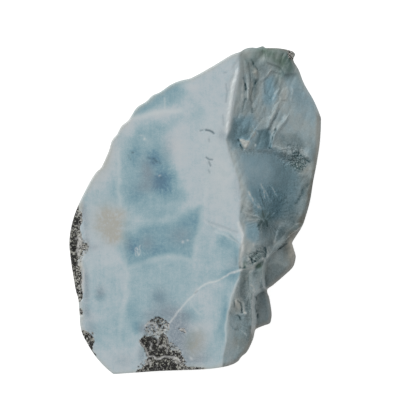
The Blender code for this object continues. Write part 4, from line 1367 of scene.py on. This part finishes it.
def basalt_colour(n):
    """Dark, olive and pale grains, crossed by thin pale veins."""
    pale = n.mark("pale_grain")
    grains = n.add(n.patterns["grains"], n.swings("grains"), n.times(pale, GRAIN_LIFT))
    colour = n.ramp(n.between(grains, *GRAIN_CONTRAST), BASALT_COLOURS)
    vein = n.math("ABSOLUTE", n.math("SUBTRACT", n.patterns["crust veins"], 0.5))
    width = n.math("MAXIMUM", n.add(VEIN_WIDTH, n.times(pale, VEIN_GAIN)), VEIN_LEAST)
    return n.mix(n.between(n.math("DIVIDE", vein, width), *VEIN_BORDER), colour, linear(CRUST))


def stone_material():
    n = Nodes("larimar")
    n.patterns = {name: n.noise(*settings) for name, settings in PATTERNS.items()}
    n.patterns["fibres"] = n.streaks(*FIBRES)
    n.patterns["streaks"] = n.streaks(*STREAKS)
    broken = n.mark("broken")
    basalt = n.between(n.add(n.mark("basalt"), n.swings("basalt edge")), *BASALT_BORDER)

    colour = stained(n, n.mix(broken, polished_colour(n), broken_colour(n)), broken)
    colour = n.mix(basalt, colour, basalt_colour(n))
    crust = n.times(n.mark("crust"), n.add(CRUST_STRENGTH, n.swings("crust")), clamp=True)
    n.put(n.mix(crust, colour, linear(CRUST)), n.shader.inputs["Base Color"])

    rough = n.add(BROKEN_ROUGHNESS, n.swings("roughness"))
    rough = n.mix_value(broken, POLISHED_ROUGHNESS, rough)
    n.put(n.mix_value(basalt, rough, BASALT_ROUGHNESS), n.shader.inputs["Roughness"])

    normal = n.bump("broken bumps", BROKEN_BUMP, broken)
    normal = n.bump("basalt bumps", BASALT_BUMP, basalt, normal)
    n.put(normal, n.shader.inputs["Normal"])
    return n.material


def floor_material():
    n = Nodes("floor")
    n.shader.inputs["Base Color"].default_value = linear(FLOOR)
    n.shader.inputs["Roughness"].default_value = FLOOR_ROUGHNESS
    n.shader.inputs["Emission Color"].default_value = (1, 1, 1, 1)
    n.shader.inputs["Emission Strength"].default_value = FLOOR_GLOW
    return n.material


def make_floor():
    mesh = bpy.data.meshes.new("floor")
    signs = ((-1, -1), (1, -1), (1, 1), (-1, 1))
    corners = [(x * FLOOR_HALF, y * FLOOR_HALF, -FLOOR_DROP) for x, y in signs]
    mesh.from_pydata(corners, [], [(0, 1, 2, 3)])
    mesh.materials.append(floor_material())
    link("floor", mesh)


def make_light():
    """One soft key light from the upper left and an even white surround."""
    lamp = bpy.data.lights.new("soft_key", "SUN")
    lamp.energy = math.pi * (1 - SURROUND) / KEY_DIRECTION.z
    lamp.angle = math.radians(KEY_SOFTNESS)
    key = link("soft_key", lamp)
    key.rotation_mode = "QUATERNION"
    key.rotation_quaternion = KEY_DIRECTION.to_track_quat("Z", "Y")

    world = bpy.data.worlds.new("surround")
    world.use_nodes = True
    world.node_tree.nodes["Background"].inputs["Color"].default_value = (1, 1, 1, 1)
    world.node_tree.nodes["Background"].inputs["Strength"].default_value = SURROUND
    bpy.context.scene.world = world
    bpy.context.scene.view_settings.view_transform = "Standard"


def make_camera():
    """Straight above the stone, so far up that its polished face has the photograph's scale."""
    data = bpy.data.cameras.new("camera")
    data.lens = LENS
    data.clip_end = CLIP_END
    x, y = spot(PICTURE / 2, PICTURE / 2)
    distance = PICTURE * PIXEL * data.lens / data.sensor_width
    camera = link("camera", data)
    camera.location = Vector((x, y, THICKNESS + distance)) * METRE
    bpy.context.scene.camera = camera


def main():
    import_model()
    make_camera()

    stone = make_stone()
    stone.data.materials.append(stone_material())
    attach(stone, "root")
    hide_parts("larimar_slab")

    make_floor()
    make_light()


main()
